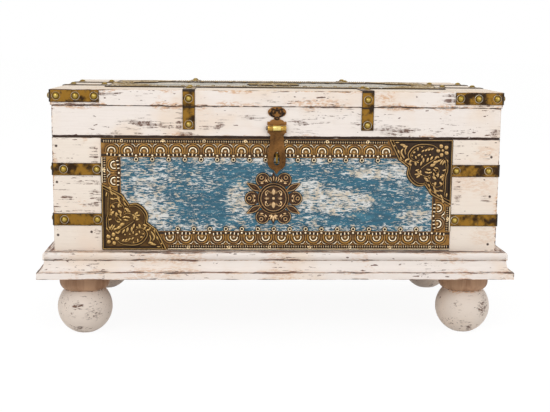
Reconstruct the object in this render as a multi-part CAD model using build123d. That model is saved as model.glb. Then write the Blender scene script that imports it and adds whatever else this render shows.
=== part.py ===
"""Damchiya chest: a low painted wooden trunk on ball feet, trimmed with stamped brass sheet and nailed straps.

The lid turns on two butt hinges, a slotted stay stops it, and a hasp drops over a staple on the front board.
Units are millimetres. +Z is up, the front faces -Y, and the origin is on the floor under the middle.
"""
import os
from math import atan2, cos, degrees, pi, radians, sin

from build123d import *

# ---------------------------------------------------------------- driving dimensions
# Box
body_width = 846.0
body_depth = 476.0
body_height = 217.0  # from the plinth's ledge to the rim
wall = 20.0
corner_round = 3.0
rim_ease = 1.5

# Plinth moulding, from the top down: bead, cove, fillet
plinth_height = 50.0
bead_height = 15.0
bead_round = 5.0
bead_reach = 19.0
quirk_depth = 2.0
fillet_height = 13.0
fillet_reach = 30.0
cove_lip = 1.5

# Floor and its supports
floor_thickness = 15.0
floor_gap = 0.5
block_size = 60.0
block_height = 25.0
cleat_width = 20.0

# Turned ball feet
foot_height = 119.0
ball_radius = 53.0
ball_centre = 49.0
waist_height = 86.0
collar_radius = 48.5
collar_turn = 15.0
collar_steps = 2
spigot_radius = 14.0
spigot_length = 22.0
spigot_clearance = 0.2

# Lid
lid_overhang = 2.0
lid_board = 30.0
lid_rail_height = 58.0
lid_edge_round = 2.5

# Stamped brass borders
sheet = 1.2
border_width = 36.0
border_roll = 3.0
relief = 1.6
bowl_pitch = 30.4
bowl_radius = 13.5
bowl_sides = 8
bowl_centre = 24.5
bowl_lead = 3.5  # from a corner plate's end to the nearest bowl
pendant_radius = 5.5
pendant_sides = 6
pendant_centre = 40.3
front_frame_seat = 2.0  # bare wood between the frame and the rim or the plinth
lid_frame_width = 668.0
lid_frame_depth = 290.0
plate_long = 128.0
plate_short = 124.0
plate_shoulder = (0.84, 0.31)  # turning points of its inner edge, as shares of its two sides
plate_notch = (0.69, 0.42)
plate_lobe = (0.64, 0.64)

# Rosettes
rosette_offset = -8.0
rosette_drop = 7.0
disc_radius = 29.5
disc_sides = 24
leaf_root = 25.5
leaf_steps = 6
boss_radius = 20.0
petal_count = 6
petal_sides = 8
petal_radius = 14.0
petal_centre = 40.5
leaf_reach = 60.0
upright_leaf_reach = 50.0
leaf_half_width = 7.0

# Straps and nails
strap_width = 23.0
strap_sheet = 1.5
strap_leg = 91.0
upper_strap = 155.5  # strap centres above the plinth's ledge
lower_strap = 60.0
bracket_drop = 1.0
lid_strap_offset = 168.0
lid_strap_drop = 74.0
side_strap_offset = 68.0
nail_radius = 8.0
nail_height = 5.0
nail_crown_radius = 4.5
nail_sides = 6
nail_inset = 21.0  # of a strap's outer nail from the corner; the inner one ends flush with the strap
bracket_nails = (12.0, 47.5, 82.0)
lid_nail_upper = 16.0
lid_nail_lower = 64.0
lid_nail_top_outer = 20.0
lid_nail_top_inner = 82.0

# Butt hinges
hinge_offset = 250.0
hinge_length = 75.0
hinge_leaf = 2.0
hinge_leaf_width = 18.0
hinge_recess_clearance = 0.2
hinge_standoff = 5.0
hinge_knuckle_radius = 4.5
hinge_pin_radius = 2.5
hinge_pin_clearance = 0.05
hinge_knuckles = 3
knuckle_gap = 0.4

# Hasp and staple
hasp_offset = -3.0
hasp_pin_height = 18.0  # above the rim
hasp_pin_radius = 2.2
hasp_pin_clearance = 0.06
hasp_knuckle_radius = 5.5
hasp_knuckle_span = 35.0
hasp_knuckle_seat = 0.3
hasp_centre_knuckle = 14.3
hasp_clearance = 0.4
hasp_plate_sheet = 2.0
hasp_plate_height = 40.0  # above its pin
hasp_fan_width = 34.5
hasp_fan_height = 20.7
hasp_neck_width = 11.5
hasp_shoulder_width = 36.0
hasp_shoulder_height = 6.0
hasp_shoulder_crown_width = 26.0
hasp_shoulder_crown = 10.0
hasp_sheet = 2.5
hasp_length = 87.0  # below its pin
hasp_ear_width = 36.0
hasp_ear_turn = (14.2, 5.0)  # half width and depth below the knuckles, where the ear curves in
hasp_waist_width = 26.0
hasp_waist_top = 12.0
hasp_waist_bottom = 22.0
hasp_flare = (14.6, 30.0)
hasp_bulb_width = 34.5
hasp_bulb_depth = 63.0
hasp_bulb_side = 6.0
hasp_bulb_turn = (12.8, 74.6)
hasp_tip_root = (5.2, 79.3)
hasp_pin_head_radius = 4.0
hasp_pin_head = 3.0
hasp_pin_head_slope = 1.8
slot_width = 10.4
slot_length = 25.5
slot_centre = 57.2
staple_wire = 2.0
staple_sides = 8
staple_bends = 6
staple_loop = 8.0
staple_reach = 17.0
staple_bite = 10.0
staple_hole_clearance = 0.05

# Lid stay
lid_open_angle = 95.0
stay_radius = 110.0  # from the hinge pin to the stay's pivot and to its stud
stay_half_angle = 10.0
stay_width = 18.0
stay_sheet = 2.5
stay_plate = 2.0
stay_plate_width = 40.0
stay_plate_height = 24.0
stay_shaft_radius = 3.0
stay_pivot_clearance = 0.05
stay_slot_clearance = 0.3
stay_side_gap = 0.5
stay_head_gap = 0.3
stay_head_radius = 6.0
stay_head = 2.0
stay_end_clearance = 0.5

# ---------------------------------------------------------------- levels and faces worked out from them
ledge_z = foot_height + plinth_height
rim_z = ledge_z + body_height
lid_board_z = rim_z + lid_rail_height
top_z = lid_board_z + lid_board
front_y = -body_depth / 2
back_y = body_depth / 2
side_x = body_width / 2
inner_x = side_x - wall
inner_y = body_depth / 2 - wall
lid_x = side_x + lid_overhang
lid_y = body_depth / 2 + lid_overhang
floor_z = foot_height + block_height
foot_x = inner_x - block_size / 2
foot_y = inner_y - block_size / 2
frame_top_z = rim_z - front_frame_seat
frame_bottom_z = ledge_z + front_frame_seat
frame_x = side_x - strap_leg  # the front frame fills the space between the corner straps
lid_frame_x = lid_frame_width / 2
lid_frame_y = lid_frame_depth / 2
hinge_y = back_y + hinge_standoff
hasp_pin_z = rim_z + hasp_pin_height
hasp_pin_y = front_y - hasp_knuckle_radius - hasp_knuckle_seat
stay_y = hinge_y - stay_radius * cos(radians(stay_half_angle))
stay_rise = stay_radius * sin(radians(stay_half_angle))
OUT = 1000.0  # larger than the chest, for cutting shapes


def block(low, high):
    """A box from its lowest to its highest corner."""
    size = [high[i] - low[i] for i in range(3)]
    return Pos(*low) * Box(*size, align=(Align.MIN, Align.MIN, Align.MIN))


def rod(start, end, radius):
    """A round bar along X from start to end."""
    bar = Cylinder(radius, end[0] - start[0], align=(Align.CENTER, Align.CENTER, Align.MIN))
    return Pos(*start) * Rot(0, 90, 0) * bar


def on_face(shape, origin, x_dir, z_dir):
    """Lay a shape that was made flat on XY onto a face of the chest."""
    return Plane(origin=origin, x_dir=x_dir, z_dir=z_dir) * shape


def mirrored(shape):
    """The same shape on the other side of the chest's middle plane."""
    return mirror(shape, about=Plane.YZ)


def turned_back(shape):
    """The same shape on the chest's rear, by a half turn about Z."""
    return Rot(0, 0, 180) * shape


# ---------------------------------------------------------------- wooden box
def eased(board, level, outer):
    """Ease the outer edges of a board at the seam between box and lid."""
    edges = [e for e in board.edges() if abs(e.center().Z - level) < rim_ease / 2 and outer(e.center())]
    return chamfer(edges, rim_ease)


def long_board(z_low, z_high, seam):
    """A front board with rounded upright corners, eased along the seam."""
    board = block((-side_x, front_y, z_low), (side_x, front_y + wall, z_high))
    board = fillet(board.edges().filter_by(Axis.Z).group_by(Axis.Y)[0], corner_round)
    return eased(board, seam, lambda c: c.Y < front_y + wall - rim_ease)


def side_board(z_low, z_high, seam):
    """A left board, held between the front and back boards."""
    board = block((-side_x, -inner_y, z_low), (-inner_x, inner_y, z_high))
    return eased(board, seam, lambda c: c.X < -side_x + rim_ease)


def hinge_recess(x, z_low, z_high):
    """The pocket that a hinge leaf is let into."""
    half = hinge_length / 2 + hinge_recess_clearance
    depth = hinge_leaf_width + hinge_recess_clearance
    return block((x - half, back_y - depth, z_low), (x + half, back_y + wall, z_high))


def staple_path():
    """The staple's wire: two legs out of the front board, joined by a half round of short bends."""
    z = hasp_pin_z - slot_centre
    bend_y = front_y - staple_reach + staple_loop + staple_wire
    spots = [(hasp_offset, front_y + staple_bite, z + staple_loop)]
    for i in range(staple_bends + 1):
        turn = pi * i / staple_bends
        spots.append((hasp_offset, bend_y - staple_loop * sin(turn), z + staple_loop * cos(turn)))
    spots.append((hasp_offset, front_y + staple_bite, z - staple_loop))
    return Polyline(*spots)


def staple(radius):
    """The staple's solid, or with a larger radius the room that it needs."""
    path = staple_path()
    section = Plane(origin=path @ 0, z_dir=path % 0) * RegularPolygon(radius, staple_sides)
    return sweep(section, path=path, transition=Transition.RIGHT)


staple_room = staple(staple_wire + staple_hole_clearance)
front_board = long_board(foot_height, rim_z, rim_z) - staple_room
back_board = turned_back(long_board(foot_height, rim_z, rim_z))
for x in (-hinge_offset, hinge_offset):
    back_board -= hinge_recess(x, rim_z - hinge_leaf, rim_z + wall)
side_board_left = side_board(foot_height, rim_z, rim_z)
side_board_right = mirrored(side_board_left)


# ---------------------------------------------------------------- plinth
def plinth_section():
    """The moulding's section: X is its reach beyond the body, Y its height above the feet."""
    bead_low = plinth_height - bead_height
    quirk = bead_reach - quirk_depth
    lip = fillet_reach - cove_lip
    crown = bead_reach - bead_round
    outline = [
        Line((0, 0), (fillet_reach, 0)),
        Line((fillet_reach, 0), (fillet_reach, fillet_height)),
        Line((fillet_reach, fillet_height), (lip, fillet_height)),
        EllipticalCenterArc((lip, bead_low), lip - quirk, bead_low - fillet_height, 180, arc_size=90),
        Line((quirk, bead_low), (bead_reach, bead_low)),
        Line((bead_reach, bead_low), (bead_reach, plinth_height - bead_round)),
        RadiusArc((bead_reach, plinth_height - bead_round), (crown, plinth_height), -bead_round),
        Line((crown, plinth_height), (0, plinth_height)),
        Line((0, plinth_height), (0, 0)),
    ]
    return make_face(outline)


def plinth_run(half_length, half_reach):
    """A front run of moulding, cut to a mitre at both ends."""
    face = Plane(origin=(OUT, -half_reach, foot_height), x_dir=(0, -1, 0), z_dir=(-1, 0, 0)) * plinth_section()
    run = extrude(face, amount=2 * OUT)
    corner = Polyline(
        (-half_length, -half_reach),
        (half_length, -half_reach),
        (half_length + fillet_reach, -half_reach - fillet_reach),
        (-half_length - fillet_reach, -half_reach - fillet_reach),
        close=True,
    )
    mitre = extrude(Pos(0, 0, foot_height) * make_face(corner), amount=plinth_height)
    return run & mitre


plinth_front = plinth_run(side_x, back_y)
plinth_back = turned_back(plinth_front)
plinth_left = Rot(0, 0, -90) * plinth_run(back_y, side_x)
plinth_right = turned_back(plinth_left)


# ---------------------------------------------------------------- floor, blocks and feet
def at_corners(shape):
    """Four copies of a shape that stands at the front left corner."""
    front = [shape, mirrored(shape)]
    return front + [turned_back(s) for s in front]


def foot():
    """A turned foot: a ball, a cupped collar and the spigot that holds it in its block."""
    flat_radius = (ball_radius**2 - ball_centre**2) ** 0.5
    waist_radius = (ball_radius**2 - (waist_height - ball_centre) ** 2) ** 0.5
    turn_height = waist_height + collar_turn
    cup = []
    for i in range(collar_steps + 1):
        turn = pi / 2 * i / collar_steps
        reach = (collar_radius - waist_radius) * sin(turn)
        cup.append((waist_radius + reach, turn_height - collar_turn * cos(turn)))
    outline = [
        Line((0, 0), (flat_radius, 0)),
        ThreePointArc((flat_radius, 0), (ball_radius, ball_centre), (waist_radius, waist_height)),
        Polyline(*cup),
        Line((collar_radius, turn_height), (collar_radius, foot_height)),
        Line((collar_radius, foot_height), (spigot_radius, foot_height)),
        Line((spigot_radius, foot_height), (spigot_radius, foot_height + spigot_length)),
        Line((spigot_radius, foot_height + spigot_length), (0, foot_height + spigot_length)),
        Line((0, foot_height + spigot_length), (0, 0)),
    ]
    turned = revolve(Plane.XZ * make_face(outline), axis=Axis.Z)
    return Pos(-foot_x, -foot_y, 0) * turned


block_x = -inner_x + block_size
block_y = -inner_y + block_size
corner_block = block((-inner_x, -inner_y, foot_height), (block_x, block_y, floor_z))
corner_block -= Pos(-foot_x, -foot_y, foot_height) * Cylinder(
    spigot_radius + spigot_clearance, block_height, align=(Align.CENTER, Align.CENTER, Align.MIN)
)
corner_blocks = at_corners(corner_block)
ball_feet = at_corners(foot())

long_cleat = block((block_x, -inner_y, foot_height), (-block_x, -inner_y + cleat_width, floor_z))
short_cleat = block((-inner_x, block_y, foot_height), (-inner_x + cleat_width, -block_y, floor_z))
floor_cleats = [long_cleat, turned_back(long_cleat), short_cleat, turned_back(short_cleat)]

floor_x = inner_x - floor_gap
floor_y = inner_y - floor_gap
floor_board = block((-floor_x, -floor_y, floor_z), (floor_x, floor_y, floor_z + floor_thickness))


# ---------------------------------------------------------------- stamped brass
def bowl():
    """One raised half-round bowl of the border, open towards the field."""
    half = Rectangle(2 * bowl_radius, bowl_radius, align=(Align.CENTER, Align.MAX))
    return half & RegularPolygon(bowl_radius, bowl_sides)


def bowl_places(length, plate_at_start, plate_at_end):
    """Distances along a border to its bowls, of which the nearest stands close to a corner plate."""
    far_room = bowl_lead if plate_at_start and plate_at_end else bowl_radius
    count = int((length - bowl_lead - far_room) // bowl_pitch) + 1
    run = (count - 1) * bowl_pitch
    if plate_at_start and plate_at_end:
        first = (length - run) / 2
    elif plate_at_start:
        first = bowl_lead
    else:
        first = length - bowl_lead - run
    return [first + i * bowl_pitch for i in range(count)]


def border(length, start_slope, end_slope, raised):
    """A strip of stamped border along +X: its outer edge lies on Y=0 and its pendants hang towards +Y.

    A slope is how far an end reaches out, for each millimetre of width, to follow a corner plate's edge.
    A square end has none, and runs into the frame's corner.
    """
    outline = make_face(
        Polyline(
            (0, 0),
            (length, 0),
            (length + border_width * end_slope, border_width),
            (-border_width * start_slope, border_width),
            close=True,
        )
    )
    places = bowl_places(length, start_slope > 0, end_slope > 0)
    clear = border_width + pendant_radius
    first_pendant = 0 if start_slope > 0 else clear
    last_pendant = length if end_slope > 0 else length - clear
    for place in places[:-1]:
        middle = place + bowl_pitch / 2
        if first_pendant <= middle <= last_pendant:
            outline += Pos(middle, pendant_centre) * RegularPolygon(pendant_radius, pendant_sides)
    strip = extrude(outline, amount=sheet)
    roll = Pos(length / 2, border_roll / 2) * Rectangle(length, border_roll)
    strip += extrude(roll, amount=sheet + relief)
    if raised:
        bowls = Sketch() + [Pos(place, bowl_centre) * bowl() for place in places]
        strip += extrude(bowls, amount=sheet + relief)
    return strip


def corner_plate():
    """A corner stamping with an ogee inner edge, its outer corner on the origin, its sides along +X and +Y."""

    def spot(share):
        return (plate_short * share[0], plate_long * share[1])

    edge = [
        Line((0, 0), (plate_short, 0)),
        Line((plate_short, 0), spot(plate_shoulder)),
        Line(spot(plate_shoulder), spot(plate_notch)),
        ThreePointArc(spot(plate_notch), spot(plate_lobe), spot(plate_notch[::-1])),
        Line(spot(plate_notch[::-1]), spot(plate_shoulder[::-1])),
        Line(spot(plate_shoulder[::-1]), (0, plate_long)),
        Line((0, plate_long), (0, 0)),
    ]
    face = make_face(edge)
    rim = face - offset(face, -border_roll)
    return extrude(face, amount=sheet) + extrude(rim, amount=sheet + relief)


def leaf(reach):
    """A pointed leaf from the disc's edge outwards along +X."""
    middle = (leaf_root + reach) / 2
    length = reach - leaf_root
    spots = []
    for i in range(2 * leaf_steps):
        turn = pi * i / leaf_steps
        spots.append((middle - length / 2 * cos(turn), leaf_half_width * sin(turn) * abs(sin(turn))))
    return make_face(Polyline(*spots, close=True))


def rosette():
    """A flower: a ringed disc, round petals and pointed leaves between them."""
    step = 360 / petal_count
    outline = RegularPolygon(disc_radius, disc_sides)
    for i in range(petal_count):
        leaf_angle = (i + 0.5) * step
        reach = upright_leaf_reach if leaf_angle % 180 == 90 else leaf_reach
        outline += Rot(0, 0, i * step) * Pos(petal_centre, 0) * RegularPolygon(petal_radius, petal_sides)
        outline += Rot(0, 0, leaf_angle) * leaf(reach)
    flower = extrude(outline, amount=sheet)
    return flower + extrude(RegularPolygon(boss_radius, disc_sides), amount=sheet + relief)


FRONT = (0, -1, 0)
UP = (0, 0, 1)
SQUARE = 0.0
short_slope = plate_short * (1 - plate_shoulder[0]) / (plate_long * plate_shoulder[1])
long_slope = plate_long * (1 - plate_shoulder[0]) / (plate_short * plate_shoulder[1])
long_border = border(2 * frame_x - plate_short, short_slope, SQUARE, raised=True)
front_border_top = on_face(long_border, (frame_x - plate_short, front_y, frame_top_z), (-1, 0, 0), FRONT)
front_border_top -= staple_room
front_border_bottom = on_face(long_border, (-frame_x + plate_short, front_y, frame_bottom_z), (1, 0, 0), FRONT)
upright = border(frame_top_z - frame_bottom_z - border_width - plate_long, SQUARE, long_slope, raised=True)
front_border_left = on_face(upright, (-frame_x, front_y, frame_top_z - border_width), (0, 0, -1), FRONT)
front_border_right = on_face(upright, (frame_x, front_y, frame_bottom_z + border_width), (0, 0, 1), FRONT)
stamped_corner = corner_plate()
corner_plate_lower_left = on_face(stamped_corner, (-frame_x, front_y, frame_bottom_z), (1, 0, 0), FRONT)
corner_plate_upper_right = on_face(stamped_corner, (frame_x, front_y, frame_top_z), (-1, 0, 0), FRONT)
flower = rosette()
rosette_z = (frame_top_z + frame_bottom_z) / 2 - rosette_drop
front_rosette = on_face(flower, (rosette_offset, front_y, rosette_z), (1, 0, 0), FRONT)
hasp_staple = staple(staple_wire)


# ---------------------------------------------------------------- straps and nails
def corner_strap(half_x, half_y, centre_z):
    """An L of brass strap round the front left corner of a box with these half sizes."""
    far_x = half_x - strap_leg
    far_y = half_y - strap_leg
    outline = Polyline(
        (-far_x, -half_y),
        (-half_x, -half_y),
        (-half_x, -far_y),
        (-half_x - strap_sheet, -far_y),
        (-half_x - strap_sheet, -half_y - strap_sheet),
        (-far_x, -half_y - strap_sheet),
        close=True,
    )
    flat = 2 - 2**0.5  # a flat of this share of a round's radius lies along the round
    section = make_face(outline)
    inside, outside = [c for c in section.vertices() if abs((c.X + half_x) - (c.Y + half_y)) < strap_sheet / 10]
    if outside.X > inside.X:
        inside, outside = outside, inside
    section = chamfer(outside, (corner_round + strap_sheet) * flat)
    inside = section.vertices().sort_by_distance((-half_x, -half_y))[0]
    section = chamfer(inside, corner_round * flat)
    return extrude(Pos(0, 0, centre_z - strap_width / 2) * section, amount=strap_width)


def nail(position, direction):
    """A hammered nail head, seated with its flat side on a strap."""
    slope = degrees(atan2((nail_radius - nail_crown_radius) * cos(pi / nail_sides), nail_height))
    head = extrude(RegularPolygon(nail_radius, nail_sides), amount=nail_height, taper=slope)
    across = (1, 0, 0) if direction[0] == 0 else (0, 1, 0)
    return Plane(origin=position, x_dir=across, z_dir=direction) * head


def corner_nails(half_x, half_y, level, spots):
    """Nail heads on both legs of a corner strap at the front left corner."""
    front = [nail((-half_x + s, -half_y - strap_sheet, level), FRONT) for s in spots]
    side = [nail((-half_x - strap_sheet, -half_y + s, level), (-1, 0, 0)) for s in spots]
    return front + side


strap_levels = (ledge_z + upper_strap, ledge_z + lower_strap)
upper_corner = corner_strap(side_x, back_y, strap_levels[0])
lower_corner = corner_strap(side_x, back_y, strap_levels[1])
corner_strap_front_left_upper = upper_corner
corner_strap_front_left_lower = lower_corner
corner_strap_front_right_upper = mirrored(upper_corner)
corner_strap_front_right_lower = mirrored(lower_corner)
corner_straps_rear_right = [turned_back(upper_corner), turned_back(lower_corner)]
corner_straps_rear_left = [mirrored(s) for s in corner_straps_rear_right]

left_nails = []
for level in strap_levels:
    left_nails += corner_nails(side_x, back_y, level, (nail_inset, strap_leg - nail_radius))
right_nails = [mirrored(n) for n in left_nails]
lost_nail = Vector(side_x - nail_inset, front_y - strap_sheet, strap_levels[1])  # gone from the lower right strap
kept_right_nails = [n for n in right_nails if (n.center() - lost_nail).length > nail_height]
rear_nails = [turned_back(n) for n in left_nails + right_nails]
carcass_nails = left_nails + kept_right_nails + rear_nails

# ---------------------------------------------------------------- lid
lid_top_board = block((-lid_x, -lid_y, lid_board_z), (lid_x, lid_y, top_z))
lid_top_board = fillet(lid_top_board.edges().filter_by(Axis.Z), corner_round)
lid_top_board = fillet(lid_top_board.edges().group_by(Axis.Z)[-1], lid_edge_round)
lid_rail_front = long_board(rim_z, lid_board_z, rim_z)
lid_rail_back = turned_back(lid_rail_front)
for x in (-hinge_offset, hinge_offset):
    lid_rail_back -= hinge_recess(x, rim_z - wall, rim_z + hinge_leaf)
lid_rail_left = side_board(rim_z, lid_board_z, rim_z)
lid_rail_right = mirrored(lid_rail_left)

lid_run = border(lid_frame_width - plate_short - plate_long, short_slope, long_slope, raised=False)
lid_border_front = on_face(lid_run, (-lid_frame_x + plate_short, -lid_frame_y, top_z), (1, 0, 0), UP)
lid_border_back = turned_back(lid_border_front)
end_run = border(lid_frame_depth - plate_short - plate_long, short_slope, long_slope, raised=False)
lid_border_left = on_face(end_run, (-lid_frame_x, lid_frame_y - plate_short, top_z), (0, -1, 0), UP)
lid_border_right = turned_back(lid_border_left)
lid_corner_left = on_face(stamped_corner, (-lid_frame_x, -lid_frame_y, top_z), (1, 0, 0), UP)
lid_corner_right = on_face(stamped_corner, (lid_frame_x, -lid_frame_y, top_z), (0, 1, 0), UP)
lid_corner_plates = [lid_corner_left, lid_corner_right]
lid_corner_plates += [turned_back(plate) for plate in lid_corner_plates]
lid_rosette = on_face(flower, (0, 0, top_z), (1, 0, 0), UP)

bracket_z = top_z - bracket_drop - strap_width / 2
bracket = corner_strap(lid_x, lid_y, bracket_z)
lid_corner_bracket_front_left = bracket
lid_corner_bracket_front_right = mirrored(bracket)
lid_corner_brackets_rear = [turned_back(bracket), mirrored(turned_back(bracket))]


def rounded_top(face, reach, radius):
    """Round the upper corner that a section has at this reach."""
    corners = [v for v in face.vertices() if abs(v.X - reach) < radius / 10]
    return fillet(max(corners, key=lambda v: v.Y), radius)


def lid_strap(outward, board_reach, rail_reach, frame_reach, along):
    """A strap from the stamped frame, over the lid's edge and down its board and rail."""
    step = strap_sheet * (2**0.5 - 1)
    shoulder = lid_board_z - lid_overhang
    end_z = top_z - lid_strap_drop
    outline = Polyline(
        (frame_reach, top_z),
        (board_reach, top_z),
        (board_reach, lid_board_z),
        (rail_reach, shoulder),
        (rail_reach, end_z),
        (rail_reach + strap_sheet, end_z),
        (rail_reach + strap_sheet, shoulder - step),
        (board_reach + strap_sheet, lid_board_z - step),
        (board_reach + strap_sheet, top_z + strap_sheet),
        (frame_reach, top_z + strap_sheet),
        close=True,
    )
    face = rounded_top(make_face(outline), board_reach, lid_edge_round)
    face = rounded_top(face, board_reach + strap_sheet, lid_edge_round + strap_sheet)
    across = Vector(*outward).cross(Vector(0, 0, 1))
    origin = across * (-strap_width / 2 + along * (across.X + across.Y))
    return extrude(Plane(origin=origin, x_dir=outward, z_dir=across) * face, amount=strap_width)


front_strap = lid_strap((0, -1, 0), lid_y, back_y, lid_frame_y, -lid_strap_offset)
side_strap = lid_strap((-1, 0, 0), lid_x, side_x, lid_frame_x, -side_strap_offset)
lid_strap_front_left = front_strap
lid_strap_front_right = mirrored(front_strap)
lid_straps_rear = [turned_back(front_strap), mirrored(turned_back(front_strap))]
side_strap_behind = mirrored(turned_back(side_strap))
lid_straps_side_left = [side_strap, side_strap_behind]
lid_straps_side_right = [mirrored(s) for s in lid_straps_side_left]


def strap_nails(outward, board_reach, rail_reach, along):
    """Nail heads of one lid strap: two on the lid's top and one on its board and its rail."""
    out = Vector(*outward)
    line = Vector(abs(out.Y), abs(out.X), 0) * along
    on_top = Vector(0, 0, top_z + strap_sheet)
    spots = [
        (out * (board_reach - lid_nail_top_inner) + line + on_top, UP),
        (out * (board_reach - lid_nail_top_outer) + line + on_top, UP),
        (out * (board_reach + strap_sheet) + line + Vector(0, 0, top_z - lid_nail_upper), outward),
        (out * (rail_reach + strap_sheet) + line + Vector(0, 0, top_z - lid_nail_lower), outward),
    ]
    return [nail(spot, direction) for spot, direction in spots]


quarter_nails = corner_nails(lid_x, lid_y, bracket_z, bracket_nails)
quarter_nails += strap_nails((0, -1, 0), lid_y, back_y, -lid_strap_offset)
quarter_nails += strap_nails((-1, 0, 0), lid_x, side_x, -side_strap_offset)
front_nails = quarter_nails + [mirrored(n) for n in quarter_nails]
lid_nails = front_nails + [turned_back(n) for n in front_nails]


# ---------------------------------------------------------------- butt hinges
def hinge_leaf_solid(x, z_low, knuckles):
    """One leaf with its knuckles; z_low is the leaf's underside and knuckles lists the segments it owns."""
    pitch = hinge_length / hinge_knuckles
    leaf_plate = block(
        (x - hinge_length / 2, back_y - hinge_leaf_width, z_low),
        (x + hinge_length / 2, back_y, z_low + hinge_leaf),
    )
    for k in knuckles:
        x_low = x - hinge_length / 2 + k * pitch + knuckle_gap / 2
        x_high = x_low + pitch - knuckle_gap
        leaf_plate += block((x_low, back_y, z_low), (x_high, hinge_y, z_low + hinge_leaf))
        leaf_plate += rod((x_low, hinge_y, rim_z), (x_high, hinge_y, rim_z), hinge_knuckle_radius)
    bore = hinge_pin_radius + hinge_pin_clearance
    return leaf_plate - rod((x - hinge_length, hinge_y, rim_z), (x + hinge_length, hinge_y, rim_z), bore)


def hinge_pin(x):
    """The loose pin through a hinge's knuckles."""
    half = hinge_length / 2 + knuckle_gap
    return rod((x - half, hinge_y, rim_z), (x + half, hinge_y, rim_z), hinge_pin_radius)


box_knuckles = range(0, hinge_knuckles, 2)
lid_knuckles = range(1, hinge_knuckles, 2)
hinge_places = (-hinge_offset, hinge_offset)
hinge_leaves_carcass = [hinge_leaf_solid(x, rim_z - hinge_leaf, box_knuckles) for x in hinge_places]
hinge_leaves_lid = [hinge_leaf_solid(x, rim_z, lid_knuckles) for x in hinge_places]
hinge_pins = [hinge_pin(x) for x in hinge_places]


# ---------------------------------------------------------------- hasp
def hasp_face(y):
    """The plane of a hasp part: X runs to the right, Y up from the hasp's pin, and the normal is outwards."""
    return Plane(origin=(hasp_offset, y, hasp_pin_z), x_dir=(1, 0, 0), z_dir=FRONT)


def along_pin(x_low, x_high, radius):
    """A round bar on the hasp's pin axis, measured from the hasp's middle."""
    ends = [(hasp_offset + x, hasp_pin_y, hasp_pin_z) for x in (x_low, x_high)]
    return rod(*ends, radius)


def hasp_bore():
    """The hole through all three knuckles of the hasp."""
    return along_pin(-hasp_knuckle_span, hasp_knuckle_span, hasp_pin_radius + hasp_pin_clearance)


def make_hasp_plate():
    """The fan-headed plate on the lid's rail, with the middle knuckle."""
    half_knuckle = hasp_centre_knuckle / 2
    clear = hasp_knuckle_radius + hasp_clearance
    shoulder_top = clear + hasp_shoulder_height
    fan_centre = hasp_plate_height - hasp_fan_height / 2
    fan = Pos(0, fan_centre) * Ellipse(hasp_fan_width / 2, hasp_fan_height / 2)
    neck = Pos(0, fan_centre / 2) * Rectangle(hasp_neck_width, fan_centre)
    shoulder = Pos(0, clear + hasp_shoulder_height / 2) * Rectangle(hasp_shoulder_width, hasp_shoulder_height)
    crown = Pos(0, shoulder_top) * Ellipse(hasp_shoulder_crown_width / 2, hasp_shoulder_crown / 2)
    tongue = Pos(0, shoulder_top / 2) * Rectangle(hasp_centre_knuckle, shoulder_top)
    plate = extrude(hasp_face(front_y) * (fan + neck + shoulder + crown + tongue), amount=hasp_plate_sheet)
    return plate + along_pin(-half_knuckle, half_knuckle, hasp_knuckle_radius) - hasp_bore()


def make_hasp_strap():
    """The swinging strap: two outer knuckles, a narrow waist, a round slotted end and a small tip."""
    half_knuckle = hasp_centre_knuckle / 2 + hasp_clearance
    half_span = hasp_knuckle_span / 2
    clear = hasp_knuckle_radius + hasp_clearance
    ear = hasp_ear_width / 2
    waist = hasp_waist_width / 2
    bulb = hasp_bulb_width / 2
    waist_top = (waist, -clear - hasp_waist_top)
    waist_bottom = (waist, -clear - hasp_waist_bottom)
    bulb_top = (bulb, hasp_bulb_side - hasp_bulb_depth)
    bulb_bottom = (bulb, -hasp_bulb_depth)
    tip_root = (hasp_tip_root[0], -hasp_tip_root[1])
    side = [
        Line((0, -clear), (ear, -clear)),
        Line((ear, -clear), (ear, -clear - hasp_sheet)),
        ThreePointArc((ear, -clear - hasp_sheet), (hasp_ear_turn[0], -clear - hasp_ear_turn[1]), waist_top),
        Line(waist_top, waist_bottom),
        ThreePointArc(waist_bottom, (hasp_flare[0], -clear - hasp_flare[1]), bulb_top),
        Line(bulb_top, bulb_bottom),
        ThreePointArc(bulb_bottom, (hasp_bulb_turn[0], -hasp_bulb_turn[1]), tip_root),
        Line(tip_root, (0, -hasp_length)),
        Line((0, -hasp_length), (0, -clear)),
    ]
    half = make_face(side)
    outline = half + mirror(half, about=Plane.YZ)
    outline -= Pos(0, -slot_centre) * Rot(0, 0, 90) * SlotOverall(slot_length, slot_width)
    back = hasp_pin_y + hasp_sheet / 2
    strap = extrude(hasp_face(back) * outline, amount=hasp_sheet)
    for x_low, x_high in ((-half_span, -half_knuckle), (half_knuckle, half_span)):
        root_height = clear + hasp_sheet / 2
        root = Pos((x_low + x_high) / 2, -root_height / 2) * Rectangle(x_high - x_low, root_height)
        strap += extrude(hasp_face(back) * root, amount=hasp_sheet)
        strap += along_pin(x_low, x_high, hasp_knuckle_radius)
    return strap - hasp_bore()


def make_hasp_pin():
    """The hasp's pin, with a domed head at its left end."""
    half = hasp_knuckle_span / 2 + hasp_clearance
    head = along_pin(-half - hasp_pin_head, -half, hasp_pin_head_radius)
    head = chamfer(head.edges().sort_by(Axis.X)[0], hasp_pin_head_slope)
    return along_pin(-half, half, hasp_pin_radius) + head


hasp_plate = make_hasp_plate()
hasp_strap = make_hasp_strap()
hasp_pin = make_hasp_pin()


# ---------------------------------------------------------------- lid stay
def stay_gap(opening):
    """The distance from the stay's pivot to its stud at an opening angle of the lid."""
    return 2 * stay_radius * sin(radians(stay_half_angle + opening / 2))


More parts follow.
